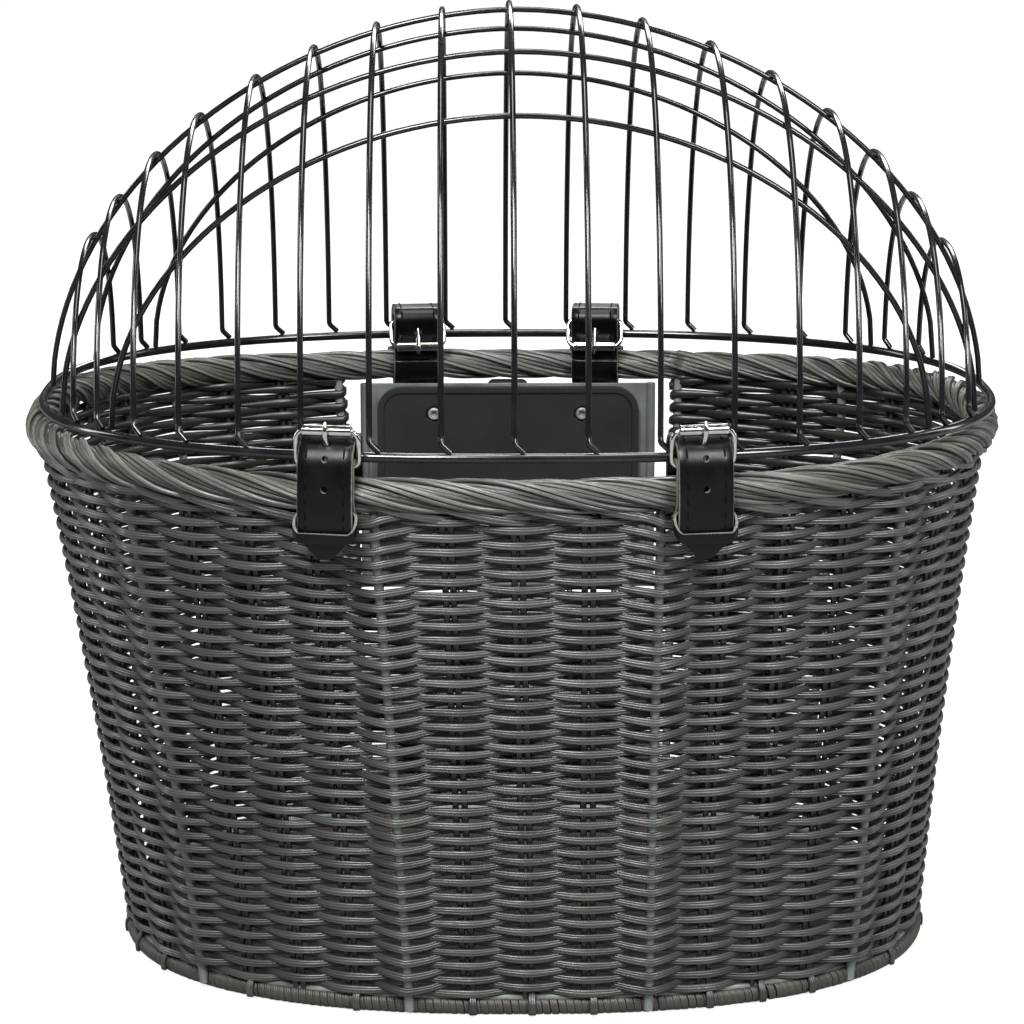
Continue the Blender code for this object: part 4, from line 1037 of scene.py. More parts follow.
def makeRope():
    runs = np.linspace(0, fineRuns[-1], int(fineRuns[-1] / rope["step"]) + 1)
    angle = np.interp(runs, fineRuns, fineAngles)[::-1]
    centre, outward = rimSurface(angle)
    steps = np.linalg.norm(np.diff(centre, axis=0), axis=1)
    begin, full = rope["endSpan"]
    endShare = np.clip((np.abs(centre[:, 0]) / rimHalfX - begin) / (full - begin), 0, 1)
    endShare = endShare * endShare * (3 - 2 * endShare)
    centre[:, 0] -= basket["ropeTuck"] * (centre[:, 0] / rimHalfX)
    lay = 1 / rope["pitchMiddle"] + (1 / rope["pitchEnds"] - 1 / rope["pitchMiddle"]) * endShare
    turns = np.concatenate([[0], np.cumsum((lay[1:] + lay[:-1]) / 2 * steps)])
    count = rope["bundles"] * rope["perBundle"]
    whole = round(turns[-1] * rope["bundles"]) / rope["bundles"]
    turns *= whole / turns[-1]
    radius = rope["frontRadius"] + (rope["endRadius"] - rope["frontRadius"]) * endShare
    up = np.array([0, 0, 1.0])
    shake = np.random.default_rng(rope["seed"])
    middle = (rope["perBundle"] - 1) / 2

    def drift(spots, spread):
        # slow random change along the rope
        values = shake.normal(0, spread, spots + 1)
        return np.interp(np.linspace(0, spots, len(turns)), np.arange(spots + 1), values)

    strands = []
    for index in range(count):
        bundle, within = divmod(index, rope["perBundle"])
        offset = within - middle
        own = (bundle * rope["perBundle"] + middle + offset * rope["squeeze"]) / count
        wobble = drift(rope["wobbleSpots"], rope["wobble"])
        wobble[0] = wobble[-1] = 0
        phase = 2 * math.pi * (own - turns + wobble)
        inValley = abs(offset) > 1
        lift = np.minimum(drift(rope["unevenSpots"], rope["unevenness"]), rope["unevenness"])
        reach = (radius - rope["valley"] * inValley + lift - rope["halfThickness"] + rope["proud"])[:, None]
        radial = outward * np.cos(phase)[:, None] + up * np.sin(phase)[:, None]
        path = centre + radial * reach
        width = rope["halfWidth"] * radius / rope["frontRadius"] * shake.uniform(*rope["widthSpread"])
        strands.append(sweepStrand(path, radial, width, rope["halfThickness"], groovedProfile, False,
                                   shake.uniform(0, 1), paintedShade=(rope["valleyPaintedShade"] * inValley, 1)))
    piece = strandPiece("ropeBorder", strands + tuckedEnds(shake), litRopeStrand)
    # the core takes the darker copy of the strand, painted shade
    core = bendWires("ropeCore", [centre[:-1]], rope["core"], shadedStrand, 8, True)
    piece = joinPieces("ropeBorder", [piece, core])
    settle(piece, "root", "woven_strand", "rim_border")


def tuckedEnds(shake):
    # the stakes' ends slant up out of the weave into the rope's underside
    strands = []
    share = np.linspace(0, 1, tuckedEnd["steps"])
    low, high = tuckedEnd["heights"]
    outset = (tuckedEnd["outset"] + tuckedEnd["bulge"] * np.sin(math.pi * share)
              - weave["depth"] * (1 - share) ** 3)
    for stake in range(windowEnd):
        angle = angleAt((stake + np.linspace(*tuckedEnd["reach"], tuckedEnd["steps"])) % stakeCount)
        height = rimSurface(angle)[0][:, 2] - basket["ropeRadius"] + shake.normal(0, tuckedEnd["unevenness"])
        height = height + low + (high - low) * share ** tuckedEnd["climbPower"]
        path, outward = wallSurface(angle, height, outset)
        strands.append(sweepStrand(path, outward, tuckedEnd["halfWidth"], tuckedEnd["halfThickness"],
                                   groovedProfile, False, shake.uniform(0, tuckedEnd["palest"]),
                                   paintedShade=(tuckedEnd["paintedShade"],) * 2))
    return strands


makeRope()
print("rope border ready")

# Foot border: a core wrapped with flat strand

footBorder = {
    "radiusX": 3.1 * mm,
    "radiusZ": 3.6 * mm,
    "core": 2.3 * mm,
    "pitch": 3.3 * mm,
    "perWrap": 12,
    "halfWidth": 1.72 * mm,
    "halfThickness": 0.4 * mm,
    "floorGap": 0.05 * mm,
    "wallGap": 0.1 * mm,
    "lift": 0.25 * mm,
    "unevenness": 0.15,          # of the wraps' spacing
    "unevenSpots": 120,
    "fineSteps": 20000,
    "coreSteps": 160,
    "seed": 31,
}


def makeFootBorder():
    own = footBorder
    inset = own["radiusX"] + own["wallGap"]
    halfX, halfY = footHalfX - inset, footHalfY - inset
    middleHeight = own["radiusZ"] + own["lift"]
    angle = np.interp(np.linspace(0, fineRuns[-1], own["fineSteps"]), fineRuns, fineAngles)
    x, y = outlineXY(angle, halfX, halfY)
    lengths = np.concatenate([[0], np.cumsum(np.hypot(np.diff(x), np.diff(y)))])
    wraps = round(lengths[-1] / own["pitch"])
    turns = np.arange(wraps * own["perWrap"]) / own["perWrap"]
    angle = np.interp(turns / wraps * lengths[-1], lengths, angle)
    x, y = outlineXY(angle, halfX, halfY)
    nx, ny = outwardXY(x, y, halfX, halfY)
    shake = np.random.default_rng(own["seed"])
    shift = np.concatenate([[0], shake.normal(0, own["unevenness"], own["unevenSpots"] - 1), [0]])
    shift = np.interp(turns, np.linspace(0, wraps, own["unevenSpots"] + 1), shift)
    phase = 2 * math.pi * (turns + shift)
    out, up = np.cos(phase), np.sin(phase)
    z = middleHeight + up * (own["radiusZ"] - own["wallGap"])
    z = np.maximum(z, own["halfThickness"] + own["floorGap"])
    reach = own["radiusX"] - own["halfThickness"]
    path = np.stack([x + nx * out * reach + footShift, y + ny * out * reach, z], -1)
    radial = unit(np.stack([nx * out, ny * out, up], -1))
    wrap = sweepStrand(path, radial, own["halfWidth"], own["halfThickness"], groovedProfile, True)
    piece = strandPiece("footBorder", [wrap], wrapStrand)
    around = np.linspace(0, 2 * math.pi, own["coreSteps"], endpoint=False)
    middle = [(a + footShift, b, middleHeight) for a, b in zip(*outlineXY(around, halfX, halfY))]
    core = bendWires("footCore", [middle], own["core"], wrapStrand, 8, True)
    piece = joinPieces("footBorder", [piece, core])
    settle(piece, "root", "woven_strand", "base_border")


makeFootBorder()
print("foot border ready")

# Floor board keeps its CAD solid

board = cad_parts["floor_board"]
board.data.materials.clear()
board.data.materials.append(plywood)

# Wire lid

ringLow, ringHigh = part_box("dome_ring")
lid = {
    "ringRadius": 2.1 * mm,
    "wireRadius": 1.3 * mm,
    "domeInset": 1 * mm,
    "endPower": 1.88,
    "sidePower": 2.17,
    "foot": 4 * mm,
    "footRise": 2.8 * mm,        # the foot slopes down to the ring from this height over it
    "footSink": 0.9 * mm,
    "footCorner": 1.6 * mm,
    "weld": 0.1 * mm,            # how far crossing wires sink into each other
    "ribSteps": 44,
    "hoopSteps": 72,
    "hoopFrom": 14 * mm,         # the hoops run straight below this height of the dome
    "hoopShare": 0.999,
    "ringSteps": 200,
    "domeProbe": 0.02 * mm,      # step for the dome's slope
    "ringProbe": 1 * mm,         # and for the ring's
    "ribs": 17,
    "hoops": 5,
}
ringHalfX = (ringHigh.x - ringLow.x) / 2 - lid["ringRadius"]
ringHalfY = (ringHigh.y - ringLow.y) / 2 - lid["ringRadius"]
ringShift = (ringHigh.x + ringLow.x) / 2
ringHeight = (ringHigh.z + ringLow.z) / 2
domeHalfY = ringHalfY - lid["domeInset"]
domeHeight = cadHigh.z - lid["wireRadius"] - ringHeight


def crestHeight(x):
    return domeHeight * (1 - abs(x / ringHalfX) ** lid["endPower"]) ** (1 / lid["endPower"])


def halfDepthAt(x, half):
    return half * (1 - abs(x / ringHalfX) ** basket["outlinePower"]) ** (1 / basket["outlinePower"])


def domeRise(x, y):
    share = min(1, abs(y) / halfDepthAt(x, domeHalfY))
    return crestHeight(x) * (1 - share ** lid["sidePower"]) ** (1 / lid["sidePower"])


def underDome(x, y, depth):
    step = lid["domeProbe"]
    slopeX = (domeRise(x + step, y) - domeRise(x - step, y)) / (2 * step)
    slopeY = (domeRise(x, y + step) - domeRise(x, y - step)) / (2 * step)
    inwards = Vector((slopeX, slopeY, -1)).normalized()
    return Vector((x + ringShift, y, ringHeight + domeRise(x, y))) + inwards * depth


def makeRib(number):
    name = "rib_%02d" % number
    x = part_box(name)[0].x + lid["wireRadius"] - ringShift
    crest, depth = crestHeight(x), halfDepthAt(x, domeHalfY)
    ringDepth = halfDepthAt(x, ringHalfY)
    lift = lid["ringRadius"] + lid["wireRadius"] - lid["weld"]
    first = math.asin(((lift + 2 * lid["wireRadius"] + lid["footRise"]) / crest) ** (lid["sidePower"] / 2))
    half = []
    for i in range(lid["ribSteps"] // 2 + 1):
        turn = first + (math.pi / 2 - first) * i / (lid["ribSteps"] // 2)
        y, z = outlineXY(turn, depth, crest, lid["sidePower"])
        half.append((float(y), float(z)))
    # the bent foot comes down on the ring, towards the right side
    step = lid["ringProbe"]
    slope = (halfDepthAt(x + step, ringHalfY) - halfDepthAt(x - step, ringHalfY)) / (2 * step)
    ahead = Vector((1, -slope)).normalized() * lid["foot"]
    front = [(x + ringShift, -y, ringHeight + z) for y, z in half]
    footTurn = (x + ringShift, -ringDepth, ringHeight + lift + lid["footRise"])
    footEnd = (x + ringShift + ahead.x, -ringDepth + ahead.y, ringHeight + lift - lid["footSink"])
    start = rounded([footEnd, footTurn, front[0], front[1]], lid["footCorner"])[:-1]
    path = start + [Vector(p) for p in front[1:]]
    back = [Vector((p[0], -p[1], p[2])) for p in path[:-1]][::-1]
    piece = bendWires("lidRib_%02d" % number, [path + back], lid["wireRadius"], blackWire)
    settle(piece, "lid", "black_wire", name)


def makeHoop(number):
    name = "hoop_%d" % number
    low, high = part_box(name)
    y = (low.y + high.y) / 2
    reach = ringHalfX * (1 - abs(y / ringHalfY) ** basket["outlinePower"]) ** (1 / basket["outlinePower"])
    depth = 2 * lid["wireRadius"] - lid["weld"]
    path = []
    for i in range(1, lid["hoopSteps"]):
        x = -reach * math.cos(math.pi * i / lid["hoopSteps"]) * lid["hoopShare"]
        if domeRise(x, y) > lid["hoopFrom"]:
            path.append(underDome(x, y, depth))
    lift = (lid["ringRadius"] + lid["wireRadius"]) / math.sqrt(2)
    ends = [Vector((side * (reach - depth) + ringShift, y, ringHeight + lift)) for side in (-1, 1)]
    piece = bendWires("lidHoop_%d" % number, [[ends[0]] + path + [ends[1]]], lid["wireRadius"], blackWire)
    settle(piece, "lid", "black_wire", name)


def makeLid():
    around = np.linspace(0, 2 * math.pi, lid["ringSteps"], endpoint=False)
    x, y = outlineXY(around, ringHalfX, ringHalfY)
    ring = [(a + ringShift, b, ringHeight) for a, b in zip(x, y)]
    piece = bendWires("lidRing", [ring], lid["ringRadius"], blackWire, 12, True)
    settle(piece, "lid", "black_wire", "dome_ring")
    for number in range(1, lid["ribs"] + 1):
        makeRib(number)
    for number in range(1, lid["hoops"] + 1):
        makeHoop(number)


makeLid()
print("wire lid ready")

# Plates in the rear window

smoothAngle = math.radians(40)
turnedSmoothAngle = math.radians(35)
seamMerge = 0.002 * mm           # closes the seam of a turned piece


def applyModifier(piece, kind, **settings):
    modifier = piece.modifiers.new("shaping", kind)
    for key, value in settings.items():
        setattr(modifier, key, value)
    bpy.ops.object.modifier_apply(modifier=modifier.name)


def cutPiece(piece, cutter, operation="DIFFERENCE"):
    selectOnly(piece)
    applyModifier(piece, "BOOLEAN", operation=operation, object=cutter, solver="EXACT")
    bpy.data.objects.remove(cutter)


def bevelPiece(piece, width, segments, angle):
    selectOnly(piece)
    applyModifier(piece, "BEVEL", width=width, segments=segments, limit_method="ANGLE",
                  angle_limit=math.radians(angle))
    bpy.ops.object.shade_smooth_by_angle(angle=smoothAngle)
    applyModifier(piece, "WEIGHTED_NORMAL", weight=100, keep_sharp=True)


def meshPiece(name, bm, material):
    mesh = bpy.data.meshes.new(name)
    bm.to_mesh(mesh)
    bm.free()
    mesh.materials.append(material)
    return linkObject(name, mesh)


def pushFace(outline, low, high, axis=1):
    # a closed block from an outline in X and the third direction, between two places along the axis
    bm = bmesh.new()
    face = bm.faces.new([bm.verts.new((a, low, b) if axis == 1 else (a, b, low)) for a, b in outline])
    for item in bmesh.ops.extrude_face_region(bm, geom=[face])["geom"]:
        if isinstance(item, bmesh.types.BMVert):
            item.co[axis] = high
    bmesh.ops.recalc_face_normals(bm, faces=bm.faces)
    return bm


def sinkFace(bm, face, inset, step, depth):
    # a raised rim round the face: an inset, then a short slope down
    bmesh.ops.inset_region(bm, faces=[face], thickness=inset, depth=0)
    bmesh.ops.inset_region(bm, faces=[face], thickness=step, depth=-depth)
    bmesh.ops.recalc_face_normals(bm, faces=bm.faces)


def roundedOutline(left, right, bottom, top, radius, steps=8):
    spots = []
    for cx, cz, start in ((right - radius, top - radius, 0), (left + radius, top - radius, 90),
                          (left + radius, bottom + radius, 180), (right - radius, bottom + radius, 270)):
        for i in range(steps + 1):
            turn = math.radians(start + 90 * i / steps)
            spots.append((cx + radius * math.cos(turn), cz + radius * math.sin(turn)))
    return spots


def roundBar(place, radius, length, sides=24, axis="Y"):
    bpy.ops.object.select_all(action="DESELECT")
    turn = (math.pi / 2, 0, 0) if axis == "Y" else (0, 0, 0)
    bpy.ops.mesh.primitive_cylinder_add(vertices=sides, radius=radius, depth=length, location=place,
                                        rotation=turn)
    bpy.ops.object.transform_apply(location=True, rotation=True, scale=True)
    return bpy.context.object


def turnedPiece(name, profile, place, material, steps=28):
    # a lathe shape round local Z from (radius, height) pairs
    bm = bmesh.new()
    corners = [bm.verts.new((r, 0, z)) for r, z in profile]
    edges = [bm.edges.new(pair) for pair in zip(corners, corners[1:])]
    bmesh.ops.spin(bm, geom=corners + edges, cent=(0, 0, 0), axis=(0, 0, 1), angle=2 * math.pi, steps=steps,
                   use_merge=True)
    bmesh.ops.remove_doubles(bm, verts=bm.verts, dist=seamMerge)
    bmesh.ops.recalc_face_normals(bm, faces=bm.faces)
    bm.transform(place)
    piece = meshPiece(name, bm, material)
    selectOnly(piece)
    bpy.ops.object.shade_smooth_by_angle(angle=turnedSmoothAngle)
    return piece


bolts = {
    "halfSpacing": 36.8 * mm,
    "topDrop": 14.7 * mm,        # from the zinc plate's top
    "rowSpacing": 64 * mm,
    "hole": 2.3 * mm,
    "socket": 1.45 * mm,
    "socketMouth": 1.6 * mm,
    "socketDepth": 1.8 * mm,
    "lip": 0.1 * mm,
    "head": 3.0 * mm,
    "headEdge": ((-0.5 * mm, 0), (-0.1 * mm, 0.3 * mm), (0, 0.7 * mm)),   # its rounding, outwards and along
    "headHeight": 2 * mm,
    "shank": 2.0 * mm,
    "chamfer": 0.4 * mm,
}
zincPlate = {
    "hem": 2.4 * mm,
    "sheetHalf": 1.0 * mm,
    "hemSteps": 24,
    "holeLength": 8 * mm,
    "bevel": (0.3 * mm, 2, 60),          # width, segments and least angle
}
backingPlate = {
    "corner": 12 * mm,
    "rim": (2.9 * mm, 0.8 * mm, 0.6 * mm),   # its width, slope and depth
    "pocket": 4.4 * mm,
    "pocketDepth": 2.3 * mm,
    "holeLength": 10 * mm,
    "bevel": (0.35 * mm, 2, 30),
}
adapterPlate = {
    "height": 80 * mm,
    "corner": 9 * mm,
    "rim": (7 * mm, 0.6 * mm, 1.6 * mm),
    "tongueHalf": 10 * mm,
    "tongueCorner": 3 * mm,
    "tongueRoot": 6 * mm,
    "tongueSpan": (0.3 * mm, 8.3 * mm),      # behind the adapter's front face
    "holeLength": 26 * mm,
    "bevel": (0.8 * mm, 3, 40),
}


def boltPlaces():
    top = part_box("frame_plate")[1].z - bolts["topDrop"]
    for row in range(2):
        for side in (-1, 1):
            yield side * bolts["halfSpacing"], top - row * bolts["rowSpacing"]


def makeZincPlate():
    # flat sheet with a rolled hem down each side
    low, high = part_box("frame_plate")
    middle = (low.y + high.y) / 2
    hem, steps = zincPlate["hem"], zincPlate["hemSteps"]
    meet = math.asin(zincPlate["sheetHalf"] / hem)
    outline = []
    for side in (1, -1):
        for i in range(steps + 1):
            turn = -math.pi + meet + (2 * math.pi - 2 * meet) * i / steps
            outline.append((side * (high.x - hem + math.cos(turn) * hem), middle + math.sin(turn) * hem * side))
    piece = meshPiece("zincPlate", pushFace(outline, low.z, high.z, 2), zinc)
    for x, z in boltPlaces():
        cutPiece(piece, roundBar((x, middle, z), bolts["hole"], zincPlate["holeLength"]))
    bevelPiece(piece, *zincPlate["bevel"])
    settle(piece, "root", "zinc", "frame_plate")


def makeBackingPlate():
    # the front has a low rim, and a hexagonal pocket for each bolt's head
    low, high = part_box("backing_plate")
    outline = roundedOutline(low.x, high.x, low.z, high.z, backingPlate["corner"])
    bm = pushFace(outline, high.y, low.y)
    sinkFace(bm, min(bm.faces, key=lambda f: f.calc_center_median().y), *backingPlate["rim"])
    piece = meshPiece("backingPlate", bm, plastic)
    for x, z in boltPlaces():
        cutPiece(piece, roundBar((x, low.y, z), backingPlate["pocket"], 2 * backingPlate["pocketDepth"], 6))
        cutPiece(piece, roundBar((x, high.y, z), bolts["hole"], backingPlate["holeLength"]))
    bevelPiece(piece, *backingPlate["bevel"])
    settle(piece, "root", "black_plastic", "backing_plate")


def makeAdapter():
    own = adapterPlate
    low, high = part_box("adapter_plate")
    bodyTop = low.z + own["height"]
    bm = pushFace(roundedOutline(low.x, high.x, low.z, bodyTop, own["corner"]), low.y, high.y)
    sinkFace(bm, max(bm.faces, key=lambda f: f.calc_center_median().y), *own["rim"])
    piece = meshPiece("adapterPlate", bm, plastic)
    outline = roundedOutline(-own["tongueHalf"], own["tongueHalf"], bodyTop - own["tongueRoot"], high.z,
                             own["tongueCorner"])
    tongue = pushFace(outline, *(low.y + y for y in own["tongueSpan"]))
    cutPiece(piece, meshPiece("adapterTongue", tongue, plastic), "UNION")
    for x, z in boltPlaces():
        cutPiece(piece, roundBar((x, low.y, z), bolts["hole"], own["holeLength"]))
    bevelPiece(piece, *own["bevel"])
    settle(piece, "root", "black_plastic", "adapter_plate")


def makeBolt(number, x, z):
    # round head with a dark socket, and a plain shank
    name = "plate_bolt_%d" % number
    low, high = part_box(name)
    length, head, shank = high.y - low.y, bolts["head"], bolts["shank"]
    lip, chamfer = bolts["lip"], bolts["chamfer"]
    profile = [(0, bolts["socketDepth"]), (bolts["socket"], bolts["socketDepth"]), (bolts["socketMouth"], lip)]
    profile += [(head + outwards, along) for outwards, along in bolts["headEdge"]]
    profile += [(head, bolts["headHeight"]), (shank, bolts["headHeight"] + lip), (shank, length - chamfer),
                (shank - chamfer, length), (0, length)]
    place = Matrix.Translation((x, low.y, z)) @ Matrix.Rotation(-math.pi / 2, 4, "X")
    piece = turnedPiece("plateBolt_%d" % number, profile, place, litBoltZinc)
    settle(piece, "root", "zinc", name)


makeZincPlate()
makeBackingPlate()
makeAdapter()
for number, (x, z) in enumerate(boltPlaces(), 1):
    makeBolt(number, x, z)
print("plates ready")

# Straps and buckles. Each strap has its own section: across = away from the ring towards the buckle,
# up = height over the ring's wire

strap = {
    "leather": 2.3 * mm,
    "half": 11.5 * mm,
    "layer": 2.6 * mm,
    "ropeWrap": 9.35 * mm,
    "heelLoop": 2.55 * mm,
    "bend": 5 * mm,
    "gap": 0.3 * mm,             # between pieces that touch, and between band and tongue
    "tipLength": 11 * mm,
    "tipShape": ((0, 1), (0.1, 0.97), (0.47, 0.74), (0.9, 0.32), (0.97, 0.24), (1, 0.14)),
    "bowSteps": 16,
    "wrapSteps": 30,
    "holeRadius": 1.45 * mm,
    "prongHoleRadius": 1.9 * mm,
    "punchLength": 8 * mm,
    "punchSides": 20,
    "stitchInset": 3.6 * mm,
    "stitch": 4.4 * mm,
    "stitchPitch": 6.2 * mm,
    "stitchRise": (-0.9, 0.1, 0.25, 0.1, -0.9),   # in threads, over the leather
    "thread": 0.42 * mm,
    "threadFlatness": 0.8,
    "step": 1.0 * mm,
}
keeper = {
    "leather": 1.3 * mm,
    "half": 2.1 * mm,
    "slack": 0.7 * mm,
    "bow": 2.4 * mm,
    "cornerShare": 0.45,
}
buckle = {
    "half": 12.9 * mm,
    "wire": 1.1 * mm,
    "wireSides": 12,
    "sides": ((0, -3 * mm), (0.1, 0), (0.45, 0.2 * mm), (0.8, 0.2 * mm), (1, -1.9 * mm)),
    "corner": 4 * mm,
    "cornerSteps": 6,
    "roller": 2.4 * mm,
    "rollerInset": 2.5 * mm,
    "rollerEdge": 0.5 * mm,
    "rollerPlay": 0.25 * mm,
    "prong": 1.15 * mm,
    "prongTaper": (1.0, 0.95, 0.8, 0.45),
    "windingSteps": 16,
}
frontStrap = {
    "heel": (6.35 * mm, -3 * mm),
    "roller": (7.45 * mm, 11.85 * mm),
    "prongTip": ((0, -0.9 * mm), (0, 0.9 * mm), (-0.3 * mm, 2.8 * mm), (-1.0 * mm, 4.3 * mm)),
    "prongHoleTurn": 54,
    "winding": 280,
    "top": 8 * mm,
    "frontBend": 11.5 * mm,
    "lean": 8,
    "tipDrop": 40.5 * mm,
    "splitDrop": 1.4 * mm,
    "holes": (1 * mm, -11.4 * mm),
    "keeperDrop": 30 * mm,
    "keeperTilt": 7 * mm,
    "keeperSlack": 1.6 * mm,
    "loopEnd": 200,
    "stitched": (52 * mm, 9 * mm),           # both from the point
    "bendWay": (1, 0.3),
    "bendReach": (0, 3 * mm),
}
rearStrap = {
    "heel": (7.5 * mm, 8 * mm),
    "roller": (13.2 * mm, -4.5 * mm),
    "prongTip": ((0, 0.9 * mm), (0, -0.9 * mm), (-0.2 * mm, -2.2 * mm), (-0.7 * mm, -3.2 * mm)),
    "winding": -280,
    "tipDrop": 14 * mm,
    "splitDrop": 11.7 * mm,
    "keeperDrop": 10.5 * mm,
    "loopEnd": -110,
    "holeRise": 3 * mm,
    "stitched": (2 * mm, 10 * mm),           # from the split and from the point
    "bendWay": (-1, 0.3),
    "bendReach": (0, 1.8 * mm),
}
ropeDrop = ringHeight - rimHeight
leatherProfile = [(1.0, -0.35), (1.0, 0.35), (0.985, 0.75), (0.955, 1.0), (0.62, 1.0), (0.2, 1.0), (-0.2, 1.0),
                  (-0.62, 1.0), (-0.955, 1.0), (-0.985, 0.75), (-1.0, 0.35), (-1.0, -0.35), (-0.985, -0.75),
                  (-0.955, -1.0), (0.0, -1.0), (0.955, -1.0), (0.985, -0.75)]
rawProfilePoints = (0, 1, 2, 9, 10, 11, 12, 16)


def strapPlace(where):
    rear = where.startswith("rear")
    angle = shareAngle(strapShares[where], rear)
    probe = 0.01
    step = rimSurface(np.array(angle + probe))[0] - rimSurface(np.array(angle - probe))[0]
    middle = Vector(rimSurface(np.array(angle))[0])
    outward = Vector((step[1], -step[0], 0)).normalized()
    across = -outward if rear else outward
    along = across.cross(Vector((0, 0, 1)))
    turn = Matrix((along, across, (0, 0, 1))).transposed().to_4x4()
    return Matrix.Translation(middle + Vector((0, 0, ropeDrop))) @ turn


def arc(centre, radius, start, end, steps=14):
    turns = np.radians(np.linspace(start, end, steps + 1))
    return [(centre[0] + radius * math.cos(t), centre[1] + radius * math.sin(t)) for t in turns]


def evenSteps(path, step):
    path = np.array(path)
    lengths = np.concatenate([[0], np.cumsum(np.linalg.norm(np.diff(path, axis=0), axis=1))])
    keep = np.concatenate([[True], np.diff(lengths) > 1e-6])
    path, lengths = path[keep], lengths[keep]
    wanted = np.linspace(0, lengths[-1], max(3, int(lengths[-1] / step)) + 1)
    return np.stack([np.interp(wanted, lengths, path[:, i]) for i in range(2)], 1), wanted


def turnVectors(place, vectors):
    return vectors @ np.array(place.to_3x3()).T


def toWorld(place, points):
    return turnVectors(place, points) + np.array(place.translation)


def tipShare(fromEnd):
    # half width of the shield-shaped end, as a share, by the distance left to the point
    along = np.clip(1 - fromEnd / strap["tipLength"], 0, 1)
    return np.interp(along, *zip(*strap["tipShape"]))


def markRaw(piece, raw):
    # the cut sides of the leather, which show pale fibres
    layer = piece.data.attributes.new("rawEdge", "FLOAT", "CORNER")
    corners = np.zeros(len(piece.data.loops), np.int32)
    piece.data.loops.foreach_get("vertex_index", corners)
    layer.data.foreach_set("value", np.asarray(raw, np.float32)[corners])


def leatherPiece(name, strip):
    raw = np.zeros(len(leatherProfile))
    raw[list(rawProfilePoints)] = 1
    piece = strandPiece(name, [strip], leather)
    markRaw(piece, np.tile(raw, strip["rings"]))
    return piece


def leatherStrip(name, path, place, sign, pointed):
    # a strip along a path in the strap's section; sign says which side of the path is outside
    stations, run = evenSteps(path, strap["step"])
    tangent = unit(np.gradient(stations, axis=0))
    outer = np.stack([-tangent[:, 1], tangent[:, 0]], 1) * sign
    half = np.full(len(run), strap["half"])
    if pointed:
        half = half * tipShare(run[-1] - run)
    points = toWorld(place, np.column_stack([0 * run, stations]))
    outward = turnVectors(place, np.column_stack([0 * run, outer]))
    strip = sweepStrand(points, outward, half, strap["leather"] / 2, leatherProfile)
    return leatherPiece(name, strip), (stations, run, outer)


def stitchRow(section, place, sideways, start, end):
    # short threads on the outer side, from one place along the strip to another
    stations, run, outer = section
    strands = []
    rises = strap["leather"] / 2 + strap["thread"] * np.array(strap["stitchRise"])
    spot = start
    while spot + strap["stitch"] < end:
        along = np.linspace(spot, spot + strap["stitch"], len(rises))
        across, up, outAcross, outUp = (np.interp(along, run, values) for values in (*stations.T, *outer.T))
        local = np.column_stack([np.full(len(rises), sideways), across + outAcross * rises, up + outUp * rises])
        outward = turnVectors(place, np.column_stack([0 * along, outAcross, outUp]))
        strands.append(sweepStrand(toWorld(place, local), outward, strap["thread"],
                                   strap["thread"] * strap["threadFlatness"], plainProfile))
        spot += strap["stitchPitch"]
    return strands


def punch(piece, place, middle, direction, radius):
    aim = Vector((0, *direction)).to_track_quat("Z", "X").to_matrix().to_4x4()
    bar = roundBar((0, 0, 0), radius, strap["punchLength"], strap["punchSides"], "Z")
    bar.data.transform(place @ Matrix.Translation(Vector((0, *middle))) @ aim)
    markRaw(bar, np.ones(len(bar.data.vertices)))
    cutPiece(piece, bar)
    bpy.ops.object.shade_smooth_by_angle(angle=smoothAngle)


def finishTongue(where, place, tongue, section, stitched):
    # stitches along both edges
    side = strap["half"] - strap["stitchInset"]
    stitches = [s for sideways in (-side, side) for s in stitchRow(section, place, sideways, *stitched)]
    seam = strandPiece("strapStitching_" + where, stitches, thread)
    for piece in (tongue, seam):
        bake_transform(piece)
    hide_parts("strap_%s_tongue" % where)


def placeWire(name, points, radius, place, closed=False, radii=None):
    return bendWires(name, [[place @ Vector(p) for p in points]], radius, chrome, buckle["wireSides"], closed,
                     radii)


def prongReach():
    # from a bar's middle to the middle of the prong's wire that lies on it
    return buckle["wire"] + strap["gap"] + buckle["prong"]


